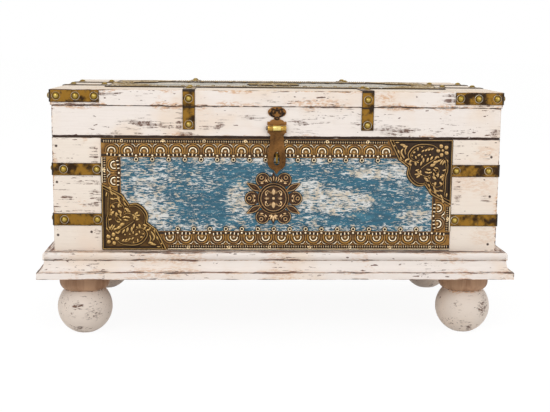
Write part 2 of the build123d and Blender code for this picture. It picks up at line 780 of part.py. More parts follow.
def stay_fixing(z):
    """A wall plate with the headed shaft that carries or guides the arm, on the right wall."""
    plate = block(
        (inner_x - stay_plate, stay_y - stay_plate_width / 2, z - stay_plate_height / 2),
        (inner_x, stay_y + stay_plate_width / 2, z + stay_plate_height / 2),
    )
    head_x = inner_x - stay_plate - stay_side_gap - stay_sheet - stay_head_gap
    shaft = rod((head_x, stay_y, z), (inner_x - stay_plate, stay_y, z), stay_shaft_radius)
    head = rod((head_x - stay_head, stay_y, z), (head_x, stay_y, z), stay_head_radius)
    return plate + shaft + head


def make_stay_arm():
    """The slotted arm, hanging from its pivot on the lid past the stud on the box."""
    start = stay_gap(0) - stay_end_clearance
    end = stay_gap(lid_open_angle) + stay_end_clearance
    outline = Pos(0, -end / 2) * Rot(0, 0, 90) * SlotCenterToCenter(end, stay_width)
    slot_height = 2 * (stay_shaft_radius + stay_slot_clearance)
    outline -= Pos(0, -(start + end) / 2) * Rot(0, 0, 90) * SlotCenterToCenter(end - start, slot_height)
    outline -= Circle(stay_shaft_radius + stay_pivot_clearance)
    face_x = inner_x - stay_plate - stay_side_gap
    plane = Plane(origin=(face_x, stay_y, rim_z + stay_rise), x_dir=(0, -1, 0), z_dir=(-1, 0, 0))
    return extrude(plane * outline, amount=stay_sheet)


stay_pivot_plate = stay_fixing(rim_z + stay_rise)
stay_stud_plate = stay_fixing(rim_z - stay_rise)
stay_arm = make_stay_arm()

# ---------------------------------------------------------------- one STEP file for each named piece
nodes = {
    "front_board": front_board,
    "back_board": back_board,
    "side_board_left": side_board_left,
    "side_board_right": side_board_right,
    "floor_board": floor_board,
    "floor_cleats": floor_cleats,
    "corner_blocks": corner_blocks,
    "plinth_front": plinth_front,
    "plinth_back": plinth_back,
    "plinth_left": plinth_left,
    "plinth_right": plinth_right,
    "ball_feet": ball_feet,
    "front_border_top": front_border_top,
    "front_border_bottom": front_border_bottom,
    "front_border_left": front_border_left,
    "front_border_right": front_border_right,
    "corner_plate_lower_left": corner_plate_lower_left,
    "corner_plate_upper_right": corner_plate_upper_right,
    "front_rosette": front_rosette,
    "hasp_staple": hasp_staple,
    "corner_strap_front_left_upper": corner_strap_front_left_upper,
    "corner_strap_front_left_lower": corner_strap_front_left_lower,
    "corner_strap_front_right_upper": corner_strap_front_right_upper,
    "corner_strap_front_right_lower": corner_strap_front_right_lower,
    "corner_straps_rear_left": corner_straps_rear_left,
    "corner_straps_rear_right": corner_straps_rear_right,
    "carcass_nails": carcass_nails,
    "hinge_leaves_carcass": hinge_leaves_carcass,
    "hinge_pins": hinge_pins,
    "stay_stud_plate": stay_stud_plate,
    "lid_top_board": lid_top_board,
    "lid_rail_front": lid_rail_front,
    "lid_rail_back": lid_rail_back,
    "lid_rail_left": lid_rail_left,
    "lid_rail_right": lid_rail_right,
    "lid_border_front": lid_border_front,
    "lid_border_back": lid_border_back,
    "lid_border_left": lid_border_left,
    "lid_border_right": lid_border_right,
    "lid_corner_plates": lid_corner_plates,
    "lid_rosette": lid_rosette,
    "lid_corner_bracket_front_left": lid_corner_bracket_front_left,
    "lid_corner_bracket_front_right": lid_corner_bracket_front_right,
    "lid_corner_brackets_rear": lid_corner_brackets_rear,
    "lid_strap_front_left": lid_strap_front_left,
    "lid_strap_front_right": lid_strap_front_right,
    "lid_straps_rear": lid_straps_rear,
    "lid_straps_side_left": lid_straps_side_left,
    "lid_straps_side_right": lid_straps_side_right,
    "lid_nails": lid_nails,
    "hinge_leaves_lid": hinge_leaves_lid,
    "hasp_plate": hasp_plate,
    "hasp_pin": hasp_pin,
    "stay_pivot_plate": stay_pivot_plate,
    "hasp_strap": hasp_strap,
    "stay_arm": stay_arm,
}

os.makedirs("parts", exist_ok=True)
for name, shape in nodes.items():
    solids = [s for piece in shape for s in piece.solids()] if isinstance(shape, list) else shape.solids()
    export_step(solids[0] if len(solids) == 1 else Compound(children=solids), f"parts/{name}.step")
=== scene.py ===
"""Looks of the damchiya chest: scuffed paint, blue fields, stamped brass, nailed straps and turned feet.

Sizes are in millimetres, apart from the distances inside shaders, which are in metres, and colours are in
0-255 sRGB. Boards and ironwork take their shape from the frame.
"""
import math

import bmesh
import bpy
from mathutils import Matrix, Vector, noise


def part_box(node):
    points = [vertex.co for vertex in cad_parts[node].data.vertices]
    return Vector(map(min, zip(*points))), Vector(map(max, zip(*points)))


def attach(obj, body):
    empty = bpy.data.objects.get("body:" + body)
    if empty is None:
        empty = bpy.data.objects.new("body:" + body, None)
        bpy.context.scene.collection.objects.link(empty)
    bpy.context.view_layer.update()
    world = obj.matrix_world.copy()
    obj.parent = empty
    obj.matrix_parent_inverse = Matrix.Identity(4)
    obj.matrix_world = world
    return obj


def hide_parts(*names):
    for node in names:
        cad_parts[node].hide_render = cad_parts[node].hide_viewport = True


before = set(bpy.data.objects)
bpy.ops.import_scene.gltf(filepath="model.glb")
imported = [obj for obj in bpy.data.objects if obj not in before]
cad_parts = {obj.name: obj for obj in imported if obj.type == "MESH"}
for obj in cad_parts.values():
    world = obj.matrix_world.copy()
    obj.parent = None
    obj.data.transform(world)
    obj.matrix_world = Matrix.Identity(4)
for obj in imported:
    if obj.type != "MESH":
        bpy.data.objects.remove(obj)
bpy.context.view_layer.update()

MM = 0.001
X, Y, Z = Vector((1, 0, 0)), Vector((0, 1, 0)), Vector((0, 0, 1))
SIDES = ("left", "right")

# ---------------------------------------------------------------- places on the chest
FRONT_Y = -238.0  # face of the front board
LID_TOP_Z = 474.0
FRAME_X = 332.0  # half width of the brass frame on the front
FRAME_Z = (171.0, 384.0)
LID_FRAME = (334.0, 145.0)  # half sizes of the brass frame on the lid
INNER_HALF = (404.2, 219.2)  # just behind the walls' inner faces
OUTER_HALF = (420.0, 235.0)  # just inside the outer faces
UNDER_LID_Z = 445.4  # just above the lid board's underside
PLINTH_LINES_Z = (119.0, 132.0, 154.0, 169.0)  # arrises and quirks of the moulding
FOOT_PLACE = (373.0, 188.0)
FOOT_HEIGHT = 119.0
BALL_RADIUS = 53.0
BALL_CENTRE_Z = 49.0
WAIST_Z = 86.0  # where the ball meets its collar
COLLAR_RADIUS = 48.5
COLLAR_Z = 101.0  # where the collar turns upright

# Stamped borders
BORDER_WIDTH = 36.0
BOWL_PITCH = 30.4
BOWL_RADIUS = 13.5
BOWL_LEAD = 3.5  # from a corner plate's end to the nearest bowl
BOWL_CENTRE = 24.5
PENDANT_CENTRE = 40.3
PENDANT_RADIUS = 5.5
SHEET = 1.2
PLATE_SHORT = 124.0
PLATE_LONG = 128.0
SHOULDER = (0.84, 0.31)  # where a plate's inner edge first turns, as shares of its sides
SHORT_SLOPE = PLATE_SHORT * (1 - SHOULDER[0]) / (PLATE_LONG * SHOULDER[1])
LONG_SLOPE = PLATE_LONG * (1 - SHOULDER[0]) / (PLATE_SHORT * SHOULDER[1])
COMB_BAND = (3.6, 9.4)  # dark channel of the toothed comb, from the outer edge
INNER_BAND = (30.0, 34.8)  # dark strip along the inner edge
INNER_TONE = 0.12
PIN_LINE = 5.2  # from the outer edge to the row of ringed pins
PIN_SPACING = 90.0
DASH_PITCH = 4.4

# ---------------------------------------------------------------- colours
CREAM = (241, 231, 223)
CREAM_WARM = (238, 220, 203)
FRONT_CREAM = (240, 227, 213)
# A darker copy of the cream paint for the ball feet: painted shade
BALL_SHADED_CREAM = (230, 216, 203)
WORN_BROWN = (112, 66, 42)
SCRATCH_GREY = (72, 53, 45)
# Dark brown of the joint lines, which also paints the shade in the gap under the lid, and of the nail holes
SEAM_BROWN = (52, 25, 8)
TAN_STAIN = (208, 154, 100)
# Tan painted shade on the lid's upper face
LID_TOP_SHADE = (232, 202, 156)
LID_TOP_SHADE_SHARE = 0.38  # share of painted shade laid over the lid's upper face
BLUE = (40, 103, 126)
BLUE_LIGHT = (80, 140, 158)
BLUE_DEEP = (36, 84, 104)
CHALK = (234, 230, 224)
CHALK_WARM = (222, 204, 180)
RAW_WOOD = (186, 142, 98)
RAW_WOOD_DARK = (120, 80, 50)
COLLAR_WOOD = (190, 152, 120)
COLLAR_WOOD_DARK = (136, 94, 64)


def srgb(colour):
    """A 0-255 sRGB colour as linear RGBA."""
    linear = []
    for part in colour:
        share = part / 255
        linear.append(share / 12.92 if share <= 0.04045 else ((share + 0.055) / 1.055) ** 2.4)
    return (*linear, 1.0)


# ---------------------------------------------------------------- shader trees
class Tree:
    """Short calls on a node tree: a socket given as a value is linked, anything else is set."""

    def __init__(self, tree):
        self.tree = tree

    def feed(self, socket, value):
        if isinstance(value, bpy.types.NodeSocket):
            self.tree.links.new(value, socket)
        else:
            socket.default_value = value

    def node(self, kind, inputs, output=0, **settings):
        made = self.tree.nodes.new("ShaderNode" + kind)
        for key, value in settings.items():
            setattr(made, key, value)
        for key, value in inputs.items():
            self.feed(made.inputs[key], value)
        return made.outputs[output]

    def math(self, operation, *values, clamp=False):
        return self.node("Math", dict(enumerate(values)), operation=operation, use_clamp=clamp)

    def chain(self, operation, found, *others):
        for value in others:
            found = self.math(operation, found, value)
        return found

    def times(self, *values):
        return self.chain("MULTIPLY", *values)

    def plus(self, *values):
        return self.chain("ADD", *values)

    def least(self, *values):
        return self.chain("MINIMUM", *values)

    def most(self, *values):
        return self.chain("MAXIMUM", *values)

    def minus(self, first, second):
        return self.math("SUBTRACT", first, second)

    def scaled(self, value, factor, offset):
        return self.math("MULTIPLY_ADD", value, factor, offset)

    def absolute(self, value):
        return self.math("ABSOLUTE", value)

    def vector(self, operation, *values):
        return self.node("VectorMath", dict(enumerate(values)), operation=operation)

    def stretch(self, place, factors):
        return self.vector("MULTIPLY", place, factors)

    def split(self, place):
        made = self.tree.nodes.new("ShaderNodeSeparateXYZ")
        self.feed(made.inputs[0], place)
        return made.outputs[0], made.outputs[1], made.outputs[2]

    def join(self, x, y, z):
        return self.node("CombineXYZ", {0: x, 1: y, 2: z})

    def ramp(self, value, low, high):
        """0 at low and 1 at high, smooth between and flat beyond."""
        return self.node("MapRange", {0: value, 1: low, 2: high}, interpolation_type="SMOOTHSTEP")

    def noise(self, place, scale, detail=2.0, roughness=0.5, distortion=0.0):
        inputs = {"Vector": place, "Scale": scale, "Detail": detail}
        inputs |= {"Roughness": roughness, "Distortion": distortion}
        return self.node("TexNoise", inputs)

    def mix(self, share, first, second):
        return self.node("Mix", {0: share, 6: first, 7: second}, output=2, data_type="RGBA")

    def blend(self, share, first, second):
        """As mix, for plain values."""
        return self.node("Mix", {0: share, 2: first, 3: second})


SOCKETS = {"f": "NodeSocketFloat", "c": "NodeSocketColor", "v": "NodeSocketVector"}


def shader_group(name, inputs, outputs):
    """An empty group with named sockets, given as {label: (kind, default)} and {label: kind}."""
    tree = bpy.data.node_groups.new(name, "ShaderNodeTree")
    for label, (kind, default) in inputs.items():
        socket = tree.interface.new_socket(label, in_out="INPUT", socket_type=SOCKETS[kind])
        socket.default_value = default
    for label, kind in outputs.items():
        tree.interface.new_socket(label, in_out="OUTPUT", socket_type=SOCKETS[kind])
    source = tree.nodes.new("NodeGroupInput").outputs
    sink = tree.nodes.new("NodeGroupOutput").inputs
    return Tree(tree), source, sink


def use_group(t, group, **inputs):
    """Places a group in tree t and returns its outputs by label."""
    made = t.tree.nodes.new("ShaderNodeGroup")
    made.node_tree = group
    for label, value in inputs.items():
        t.feed(made.inputs[label], value)
    return made.outputs


def scuffed_paint_group():
    """Old chalk paint: soft mottling, brush lines, scratches in clusters, and bare wood along arrises."""
    inputs = {
        "Place": ("v", (0, 0, 0)),
        "Grain": ("v", (0.1, 1, 1)),
        "Edge": ("f", 1.0),
        "Paint": ("c", srgb(CREAM)),
        "Scuffs": ("f", 1.0),
        "Stains": ("f", 1.0),
        "Rub": ("f", 1.0),
        "Patch": ("f", 0.0),
        "Blotch": ("f", 0.0),
    }
    t, source, sink = shader_group("scuffed_paint", inputs, {"Color": "c", "Roughness": "f", "Height": "f"})
    place = source["Place"]
    along = t.stretch(place, source["Grain"])

    cloud = t.noise(place, 9.0, 3.0)
    brush = t.noise(along, 330.0, 3.0, 0.6)
    colour = t.mix(t.ramp(cloud, 0.46, 0.70), source["Paint"], srgb(CREAM_WARM))
    colour = t.mix(t.times(t.ramp(brush, 0.40, 0.75), 0.12), colour, srgb((206, 186, 170)))
    dust = t.noise(place, 34.0, 4.0, 0.65)
    colour = t.mix(t.times(t.ramp(dust, 0.55, 0.80), 0.22), colour, srgb((214, 194, 176)))

    # Tan stains, grainy and close to the edges
    ragged = t.noise(t.stretch(along, (4.0, 1, 1)), 330.0, 4.0, 0.7)
    wander = t.noise(place, 13.0, 2.0)
    reach = t.times(t.ramp(wander, 0.46, 0.70), 0.012)
    beside = t.ramp(t.math("DIVIDE", source["Edge"], t.plus(reach, 0.0012)), 1.3, 0.1)
    stain = t.times(beside, t.ramp(ragged, 0.44, 0.58))
    cloud_stain = t.times(t.ramp(t.noise(place, 17.0, 3.0), 0.60, 0.72), t.ramp(ragged, 0.50, 0.66))
    stain = t.most(stain, t.times(cloud_stain, 0.6))
    stain = t.math("MULTIPLY", stain, source["Stains"], clamp=True)
    stain = t.most(stain, t.times(t.ramp(ragged, 0.44, 0.58), source["Blotch"]))
    colour = t.mix(t.times(stain, 0.72), colour, srgb(TAN_STAIN))

    # Bare wood where the arrises are rubbed
    chatter = t.noise(along, 210.0, 4.0, 0.7)
    rub_reach = t.times(t.ramp(chatter, 0.40, 0.68), 0.0036)
    rub_reach = t.times(rub_reach, t.plus(t.ramp(wander, 0.35, 0.65), 0.3))
    rub_reach = t.times(rub_reach, source["Rub"])
    rubbed = t.ramp(t.minus(rub_reach, source["Edge"]), -0.0002, 0.0005)
    tone = t.noise(place, 42.0, 2.0)
    bare = t.mix(t.ramp(tone, 0.35, 0.65), srgb(WORN_BROWN), srgb(SCRATCH_GREY))
    colour = t.mix(t.times(rubbed, 0.88), colour, bare)

    # Scratches, which lie along the grain, gather in places and fill the given patches
    cluster = t.ramp(t.noise(t.stretch(place, (0.55, 0.8, 1.6)), 13.0, 2.0), 0.46, 0.62)
    cluster = t.most(t.times(cluster, source["Scuffs"]), source["Patch"])
    strokes = t.noise(along, 360.0, 4.0, 0.62)
    stroke_level = t.scaled(source["Patch"], -0.14, 0.612)
    strokes = t.ramp(t.minus(strokes, stroke_level), 0.0, 0.03)
    breaks = t.ramp(t.noise(place, 130.0, 3.0, 0.6), 0.42, 0.54)
    scratch = t.times(strokes, cluster, t.most(breaks, t.times(source["Patch"], 0.5)))
    pits = t.ramp(t.noise(t.stretch(along, (3.5, 1, 1)), 190.0, 2.0), 0.70, 0.735)
    scratch = t.most(scratch, t.times(pits, source["Scuffs"]))
    scratch = t.least(scratch, 1.0)
    colour = t.mix(t.times(scratch, 0.92), colour, t.mix(tone, srgb(SCRATCH_GREY), srgb(WORN_BROWN)))

    gone = t.most(rubbed, scratch)
    t.feed(sink["Color"], colour)
    t.feed(sink["Roughness"], t.scaled(gone, 0.18, t.scaled(brush, 0.12, 0.52)))
    t.feed(sink["Height"], t.scaled(brush, 0.22, t.minus(1.0, gone)))
    return t.tree


def brushed_blue_group():
    """A blue field brushed over chalk paint: flecks along the grain that open into worn patches."""
    inputs = {"Place": ("v", (0, 0, 0)), "Grain": ("v", (0.2, 1, 1)), "Wear": ("f", 0.0)}
    t, source, sink = shader_group("brushed_blue", inputs, {"Color": "c", "Chalk": "f"})
    place = source["Place"]
    along = t.stretch(place, source["Grain"])
    wear = source["Wear"]

    tone = t.noise(along, 130.0, 4.0, 0.6)
    colour = t.mix(t.ramp(tone, 0.38, 0.66), srgb(BLUE_DEEP), srgb(BLUE))
    haze = t.ramp(t.noise(along, 75.0, 4.0, 0.65), 0.50, 0.72)
    colour = t.mix(t.times(haze, 0.55), colour, srgb(BLUE_LIGHT))

    fleck_noise = t.noise(along, 520.0, 4.0, 0.66, 0.3)
    fleck_level = t.scaled(wear, -0.125, 0.613)
    flecks = t.ramp(t.minus(fleck_noise, fleck_level), 0.0, 0.02)
    blot_noise = t.noise(along, 300.0, 5.0, 0.68, 0.5)
    blot_level = t.scaled(wear, -0.155, 0.655)
    blots = t.ramp(t.minus(blot_noise, blot_level), 0.0, 0.018)
    chalk = t.most(flecks, blots)
    chalk_tone = t.mix(t.ramp(t.noise(place, 70.0, 3.0), 0.42, 0.62), srgb(CHALK), srgb(CHALK_WARM))
    chalk_tone = t.mix(t.times(t.noise(along, 240.0, 3.0), 0.2), chalk_tone, srgb(BLUE_LIGHT))
    t.feed(sink["Color"], t.mix(t.times(chalk, 0.95), colour, chalk_tone))
    t.feed(sink["Chalk"], chalk)
    return t.tree


def patina_group():
    """Old brass: dark in its hollows, olive gold on the flats, pale where hands and polish reach; the dark is
    patina and painted shade, the pale is polish and painted highlight.
    """
    inputs = {
        "Place": ("v", (0, 0, 0)),
        "Relief": ("f", 0.5),
        "Hollow": ("c", srgb((36, 24, 12))),
        "Body": ("c", srgb((124, 94, 44))),
        "Tint": ("c", srgb((96, 66, 30))),
        "Polished": ("c", srgb((222, 196, 146))),
        "Grime": ("f", 0.5),
        "Scale": ("f", 1.0),
    }
    outputs = {"Color": "c", "Roughness": "f", "Metallic": "f", "Height": "f"}
    t, source, sink = shader_group("patina", inputs, outputs)
    place = t.stretch(source["Place"], t.join(source["Scale"], source["Scale"], source["Scale"]))
    fine = t.noise(place, 420.0, 3.0, 0.6)
    coarse = t.noise(place, 46.0, 3.0, 0.55)
    uneven = t.plus(t.scaled(fine, 0.24, -0.12), t.scaled(coarse, 0.44, -0.22))
    relief = t.plus(source["Relief"], uneven)
    body = t.mix(t.ramp(coarse, 0.41, 0.61), source["Body"], source["Tint"])
    # Low relief takes the dark hollow colour (patina and painted shade), high relief the pale colour (polish
    # and painted highlight)
    colour = t.mix(t.ramp(relief, 0.06, 0.42), source["Hollow"], body)
    colour = t.mix(t.ramp(relief, 0.62, 1.02), colour, source["Polished"])
    spots = t.times(t.ramp(t.noise(place, 150.0, 4.0, 0.7), 0.56, 0.70), source["Grime"])
    colour = t.mix(spots, colour, source["Hollow"])
    bright = t.ramp(t.minus(relief, spots), 0.05, 0.8)
    t.feed(sink["Color"], colour)
    t.feed(sink["Roughness"], t.scaled(bright, -0.30, 0.62))
    t.feed(sink["Metallic"], t.scaled(bright, 0.55, 0.35))
    t.feed(sink["Height"], t.scaled(spots, -0.5, fine))
    return t.tree


def wood_grain_group():
    """Bare sawn wood: long rings and fibres along the grain."""
    inputs = {
        "Place": ("v", (0, 0, 0)),
        "Grain": ("v", (0.08, 1, 1)),
        "Light": ("c", srgb(RAW_WOOD)),
        "Dark": ("c", srgb(RAW_WOOD_DARK)),
    }
    t, source, sink = shader_group("wood_grain", inputs, {"Color": "c", "Roughness": "f", "Height": "f"})
    along = t.stretch(source["Place"], source["Grain"])
    rings = t.noise(along, 60.0, 4.0, 0.55, 0.8)
    fibres = t.noise(along, 700.0, 3.0, 0.6)
    share = t.plus(t.times(t.ramp(rings, 0.36, 0.66), 0.6), t.times(fibres, 0.35))
    colour = t.mix(share, source["Light"], source["Dark"])
    t.feed(sink["Color"], colour)
    t.feed(sink["Roughness"], t.scaled(fibres, 0.15, 0.6))
    t.feed(sink["Height"], t.plus(t.times(rings, 0.5), fibres))
    return t.tree


SCUFFED = scuffed_paint_group()
BRUSHED = brushed_blue_group()
PATINA = patina_group()
WOOD = wood_grain_group()


# ---------------------------------------------------------------- materials
def empty_tree(owner):
    """The emptied node tree of a material or a world."""
    owner.use_nodes = True
    owner.node_tree.nodes.clear()
    return Tree(owner.node_tree)


def new_material(name):
    """A material, its tree and its Principled shader."""
    material = bpy.data.materials.new(name)
    t = empty_tree(material)
    shader = t.tree.nodes.new("ShaderNodeBsdfPrincipled")
    t.feed(t.tree.nodes.new("ShaderNodeOutputMaterial").inputs[0], shader.outputs[0])
    return material, t, shader


def object_place(t):
    return t.node("TexCoord", {}, output=3)


def dress(t, shader, colour, roughness, height, depth, strength=0.6):
    """Feeds a Principled shader; a height of 1 stands depth metres above 0."""
    bump = t.node("Bump", {"Strength": strength, "Distance": depth, "Height": height})
    for label, value in (("Base Color", colour), ("Roughness", roughness), ("Normal", bump)):
        t.feed(shader.inputs[label], value)


def box_edge(t, place, low, high):
    """Distance in metres from a surface point of a board to the nearest edge of its box."""
    centre = (low + high) / 2
    half = (high - low) / 2
    away = t.vector("ABSOLUTE", t.vector("SUBTRACT", place, tuple(centre)))
    x, y, z = t.split(t.vector("SUBTRACT", tuple(half), away))
    return t.most(t.least(x, y), t.least(t.most(x, y), z))


SOFT = 0.0004  # half of the blend where one finish meets the next


def within(t, value, limit):
    """1 where the size of a value is under a limit in metres."""
    return t.ramp(t.absolute(value), limit + SOFT, limit - SOFT)


GRAINS = {"x": (0.085, 1.0, 1.0), "y": (1.0, 0.085, 1.0), "z": (1.0, 1.0, 0.085)}
FLECK_GRAIN = (0.22, 1.0, 1.0)

# Each patch below is x, z (or y on the lid's top), half width, half height and strength.
# Where the front's blue is worn through
FRONT_PATCHES = (
    (104, 266, 90, 28, 1.15), (60, 292, 40, 16, 0.65), (190, 318, 66, 13, 0.95), (226, 330, 20, 16, 0.9),
    (-70, 262, 34, 44, 0.8), (-246, 248, 60, 32, 0.82), (-240, 314, 70, 32, 0.58),
    (-150, 300, 60, 20, 0.45), (0, 348, 330, 12, 0.62), (268, 236, 46, 18, 0.65), (58, 232, 44, 20, 0.45),
    (230, 292, 52, 16, 0.45),
)
# Where the white paint is scuffed
FRONT_SCUFFS = (
    (-398, 268, 16, 8, 0.9), (-360, 303, 34, 12, 0.8), (-352, 262, 26, 6, 1), (-345, 352, 10, 20, 0.9),
    (-343, 278, 14, 32, 0.9), (-340, 210, 8, 26, 0.7), (402, 272, 16, 9, 0.9), (345, 285, 9, 34, 0.8),
    (370, 318, 34, 7, 0.6),
)
RAIL_SCUFFS = (
    (-248, 409, 66, 12, 1), (-186, 416, 9, 26, 1), (-138, 410, 16, 14, 0.8), (-300, 392, 26, 5, 0.8),
    (-262, 391, 12, 5, 1), (-172, 391, 22, 5, 1), (-112, 408, 12, 14, 0.9), (-45, 423, 24, 7, 0.9),
    (52, 416, 40, 8, 0.9), (146, 411, 14, 6, 0.9), (222, 400, 52, 10, 0.9), (412, 398, 12, 14, 0.9),
)
LID_EDGE_SCUFFS = (
    (-318, 468, 28, 7, 1), (-398, 449, 34, 6, 1), (398, 447, 34, 4, 0.9), (330, 460, 26, 18, 1),
    (-20, 452, 70, 5, 0.5),
)
# Tan blotches
LID_BLOTCHES = (
    (-94, 448, 24, 7, 1), (72, 450, 62, 10, 1), (200, 461, 20, 11, 1), (332, 447, 44, 6, 0.9),
    (-52, 447, 20, 4, 0.8),
)
FRONT_BLOTCHES = (
    (398, 360, 26, 16, 0.5), (380, 300, 48, 26, 0.4), (400, 196, 30, 20, 0.4), (0, 385, 320, 3, 0.6),
)
# Nail holes left in the front board, as x and z
NAIL_HOLES = (
    (-415, 368), (-415, 300), (-415, 199), (407, 351), (407, 275), (407, 182), (-352, 205), (352, 236),
)
# Where the lid's blue is worn through
LID_PATCHES = (
    (-60, -30, 190, 40, 0.7), (150, 50, 150, 40, 0.6), (-230, 60, 80, 40, 0.8), (240, -60, 90, 40, 0.8),
    (0, 0, 80, 70, 0.6),
)


def patch_wear(t, place, patches, second_axis=2):
    """The strongest of several soft elliptical patches, in x and the given second axis."""
    axes = t.split(place)
    worn = 0.0
    for x, other, half_x, half_other, strength in patches:
        across = t.times(t.minus(axes[0], x * MM), 1 / (half_x * MM))
        along = t.times(t.minus(axes[second_axis], other * MM), 1 / (half_other * MM))
        span = t.plus(t.times(across, across), t.times(along, along))
        patch = t.times(t.ramp(span, 1.5, 0.0), strength)
        worn = patch if worn == 0.0 else t.most(worn, patch)
    return worn


HALO_WIDTH = 50.0  # band beside the brass where the blue is thin
HALO_FADE = 8.0
FIELD_INSET = 3.0  # from the brass frame's outer edge to the painted field


def blue_field(t, place, centre, half_x, half_other, second_axis, patches):
    """(colour, mask, chalk) of the blue painting inside a brass frame."""
    axes = t.split(place)
    across, along = axes[0], t.minus(axes[second_axis], centre * MM)
    reach_across, reach_along = (half_x - FIELD_INSET) * MM, (half_other - FIELD_INSET) * MM
    ragged = t.scaled(t.noise(place, 90.0, 3.0), 0.006, -0.003)
    inside = within(t, t.plus(across, ragged), reach_across)
    mask = t.times(inside, within(t, t.plus(along, ragged), reach_along))
    drift = t.scaled(t.noise(t.stretch(place, (0.6, 1, 1)), 24.0, 4.0), 1.3, -0.42)
    beside = t.least(t.minus(reach_across, t.absolute(across)), t.minus(reach_along, t.absolute(along)))
    halo = t.ramp(beside, HALO_WIDTH * MM, (HALO_WIDTH - HALO_FADE) * MM)
    worn = t.most(patch_wear(t, place, patches, second_axis), t.times(halo, 0.5))
    wear = t.math("MULTIPLY_ADD", worn, 0.88, drift, clamp=True)
    field = use_group(t, BRUSHED, Place=place, Grain=FLECK_GRAIN, Wear=wear)
    return field["Color"], mask, field["Chalk"]


FACE_SOFT = 0.0005  # half of the blend from the outer faces to what lies behind them
SEAM_SOFT = 0.0003  # half of a seam's soft rim


def seam_grime_and_shade(t, place, level, half, breaks):
    """A ragged dark line round the outer faces at a height in mm, broken up to a share of its length: grime in
    the joint and painted shade in its gap.
    """
    x, y, z = t.split(t.vector("ABSOLUTE", place))
    half_x, half_y = OUTER_HALF
    outer = t.most(
        t.ramp(x, half_x * MM - FACE_SOFT, half_x * MM + FACE_SOFT),
        t.ramp(y, half_y * MM - FACE_SOFT, half_y * MM + FACE_SOFT),
    )
    ragged = t.scaled(t.noise(t.stretch(place, (0.3, 0.3, 1)), 240.0, 3.0), 0.0024, -0.0012)
    away = t.absolute(t.minus(z, level * MM))
    line = t.ramp(t.plus(away, ragged), half * MM + SEAM_SOFT, half * MM - SEAM_SOFT)
    share = 0.22 * breaks
    gaps = t.ramp(t.noise(place, 38.0, 3.0), 0.30 + share, 0.36 + share)
    return t.times(line, gaps, outer)


HOLE_RIM = (0.0032, 0.0016)  # from the middle of a nail hole to where it ends and where it is darkest


def nail_holes(t, place, spots):
    """Small dark holes at (x, z) places in mm."""
    x, y, z = t.split(place)
    flat = t.join(x, 0.0, z)
    holes = 0.0
    for spot_x, spot_z in spots:
        ends = {0: flat, 1: (spot_x * MM, 0.0, spot_z * MM)}
        away = t.node("VectorMath", ends, output=1, operation="DISTANCE")
        hole = t.ramp(away, *HOLE_RIM)
        holes = hole if holes == 0.0 else t.most(holes, hole)
    return holes


SEAMS = ((386.0, 2.7, 0.0), (444.0, 0.8, 0.45))  # height, half thickness, share of gaps; dark joint lines, the one at 386 also painted shade in the gap under the lid


def painted_wood(name, edge, grain="x", scuffs=1.0, stains=1.0, rub=1.0, field=None, bare_inside=False,
                 patches=(), blotches=(), holes=(), seams=(), paint=CREAM, dusty_top=False):
    """White chalk paint on wood. edge(t, place) gives the distance to an arris; field adds a blue field."""
    material, t, shader = new_material(name)
    place = object_place(t)
    patch = patch_wear(t, place, patches) if patches else 0.0
    blotch = patch_wear(t, place, blotches) if blotches else 0.0
    coat = use_group(
        t, SCUFFED, Place=place, Grain=GRAINS[grain], Edge=edge(t, place), Scuffs=scuffs, Stains=stains,
        Rub=rub, Patch=patch, Blotch=blotch, Paint=srgb(paint),
    )
    colour, roughness, height = coat["Color"], coat["Roughness"], coat["Height"]
    if field:
        blue, mask, chalk = field(t, place)
        colour = t.mix(mask, colour, blue)
        roughness = t.scaled(mask, -0.06, roughness)
        height = t.plus(t.times(height, t.minus(1.0, mask)), t.times(chalk, mask))
    # Painted shade: the lid's upper face is tinted tan, darker than the same paint on its sides
    if dusty_top:
        upper = t.ramp(t.split(place)[2], (LID_TOP_Z - 0.8) * MM, (LID_TOP_Z - 0.2) * MM)
        top_shade = t.scaled(t.noise(place, 21.0, 3.0), 0.5, LID_TOP_SHADE_SHARE - 0.25)
        colour = t.mix(t.math("MULTIPLY", upper, top_shade, clamp=True), colour, srgb(LID_TOP_SHADE))
    dark = [seam_grime_and_shade(t, place, *seam) for seam in seams]
    if holes:
        dark.append(nail_holes(t, place, holes))
    if dark:
        dark = t.most(*dark)
        colour = t.mix(t.times(dark, 0.97), colour, srgb(SEAM_BROWN))
        height = t.minus(height, dark)
    if bare_inside:
        wood = use_group(t, WOOD, Place=place, Grain=GRAINS[grain])
        x, y, z = t.split(place)
        under_lid = t.ramp(z, UNDER_LID_Z * MM + SOFT, UNDER_LID_Z * MM - SOFT)
        inside = t.times(within(t, x, INNER_HALF[0] * MM), within(t, y, INNER_HALF[1] * MM), under_lid)
        colour = t.mix(inside, colour, wood["Color"])
        roughness = t.blend(inside, roughness, wood["Roughness"])
        height = t.blend(inside, height, t.times(wood["Height"], 0.5))
    dress(t, shader, colour, roughness, height, 0.00035, 0.7)
    return material


def bare_wood(name, grain, light=RAW_WOOD, dark=RAW_WOOD_DARK):
    material, t, shader = new_material(name)
    wood = use_group(t, WOOD, Place=object_place(t), Grain=GRAINS[grain], Light=srgb(light), Dark=srgb(dark))
    dress(t, shader, wood["Color"], wood["Roughness"], wood["Height"], 0.0003)
    return material


def old_brass(name, hollow, body, tint, polish_and_highlight, grime, scale=1.0):
    """Brass whose patina, with its painted shade and painted highlight, follows the relief attribute of its
    mesh.
    """
    material, t, shader = new_material(name)
    relief = t.node("Attribute", {}, output=2, attribute_name="relief")
    metal = use_group(
        t, PATINA, Place=object_place(t), Relief=relief, Hollow=srgb(hollow), Body=srgb(body),
        Tint=srgb(tint), Polished=srgb(polish_and_highlight), Grime=grime, Scale=scale,
    )
    t.feed(shader.inputs["Metallic"], metal["Metallic"])
    dress(t, shader, metal["Color"], metal["Roughness"], metal["Height"], 0.00015)
    return material


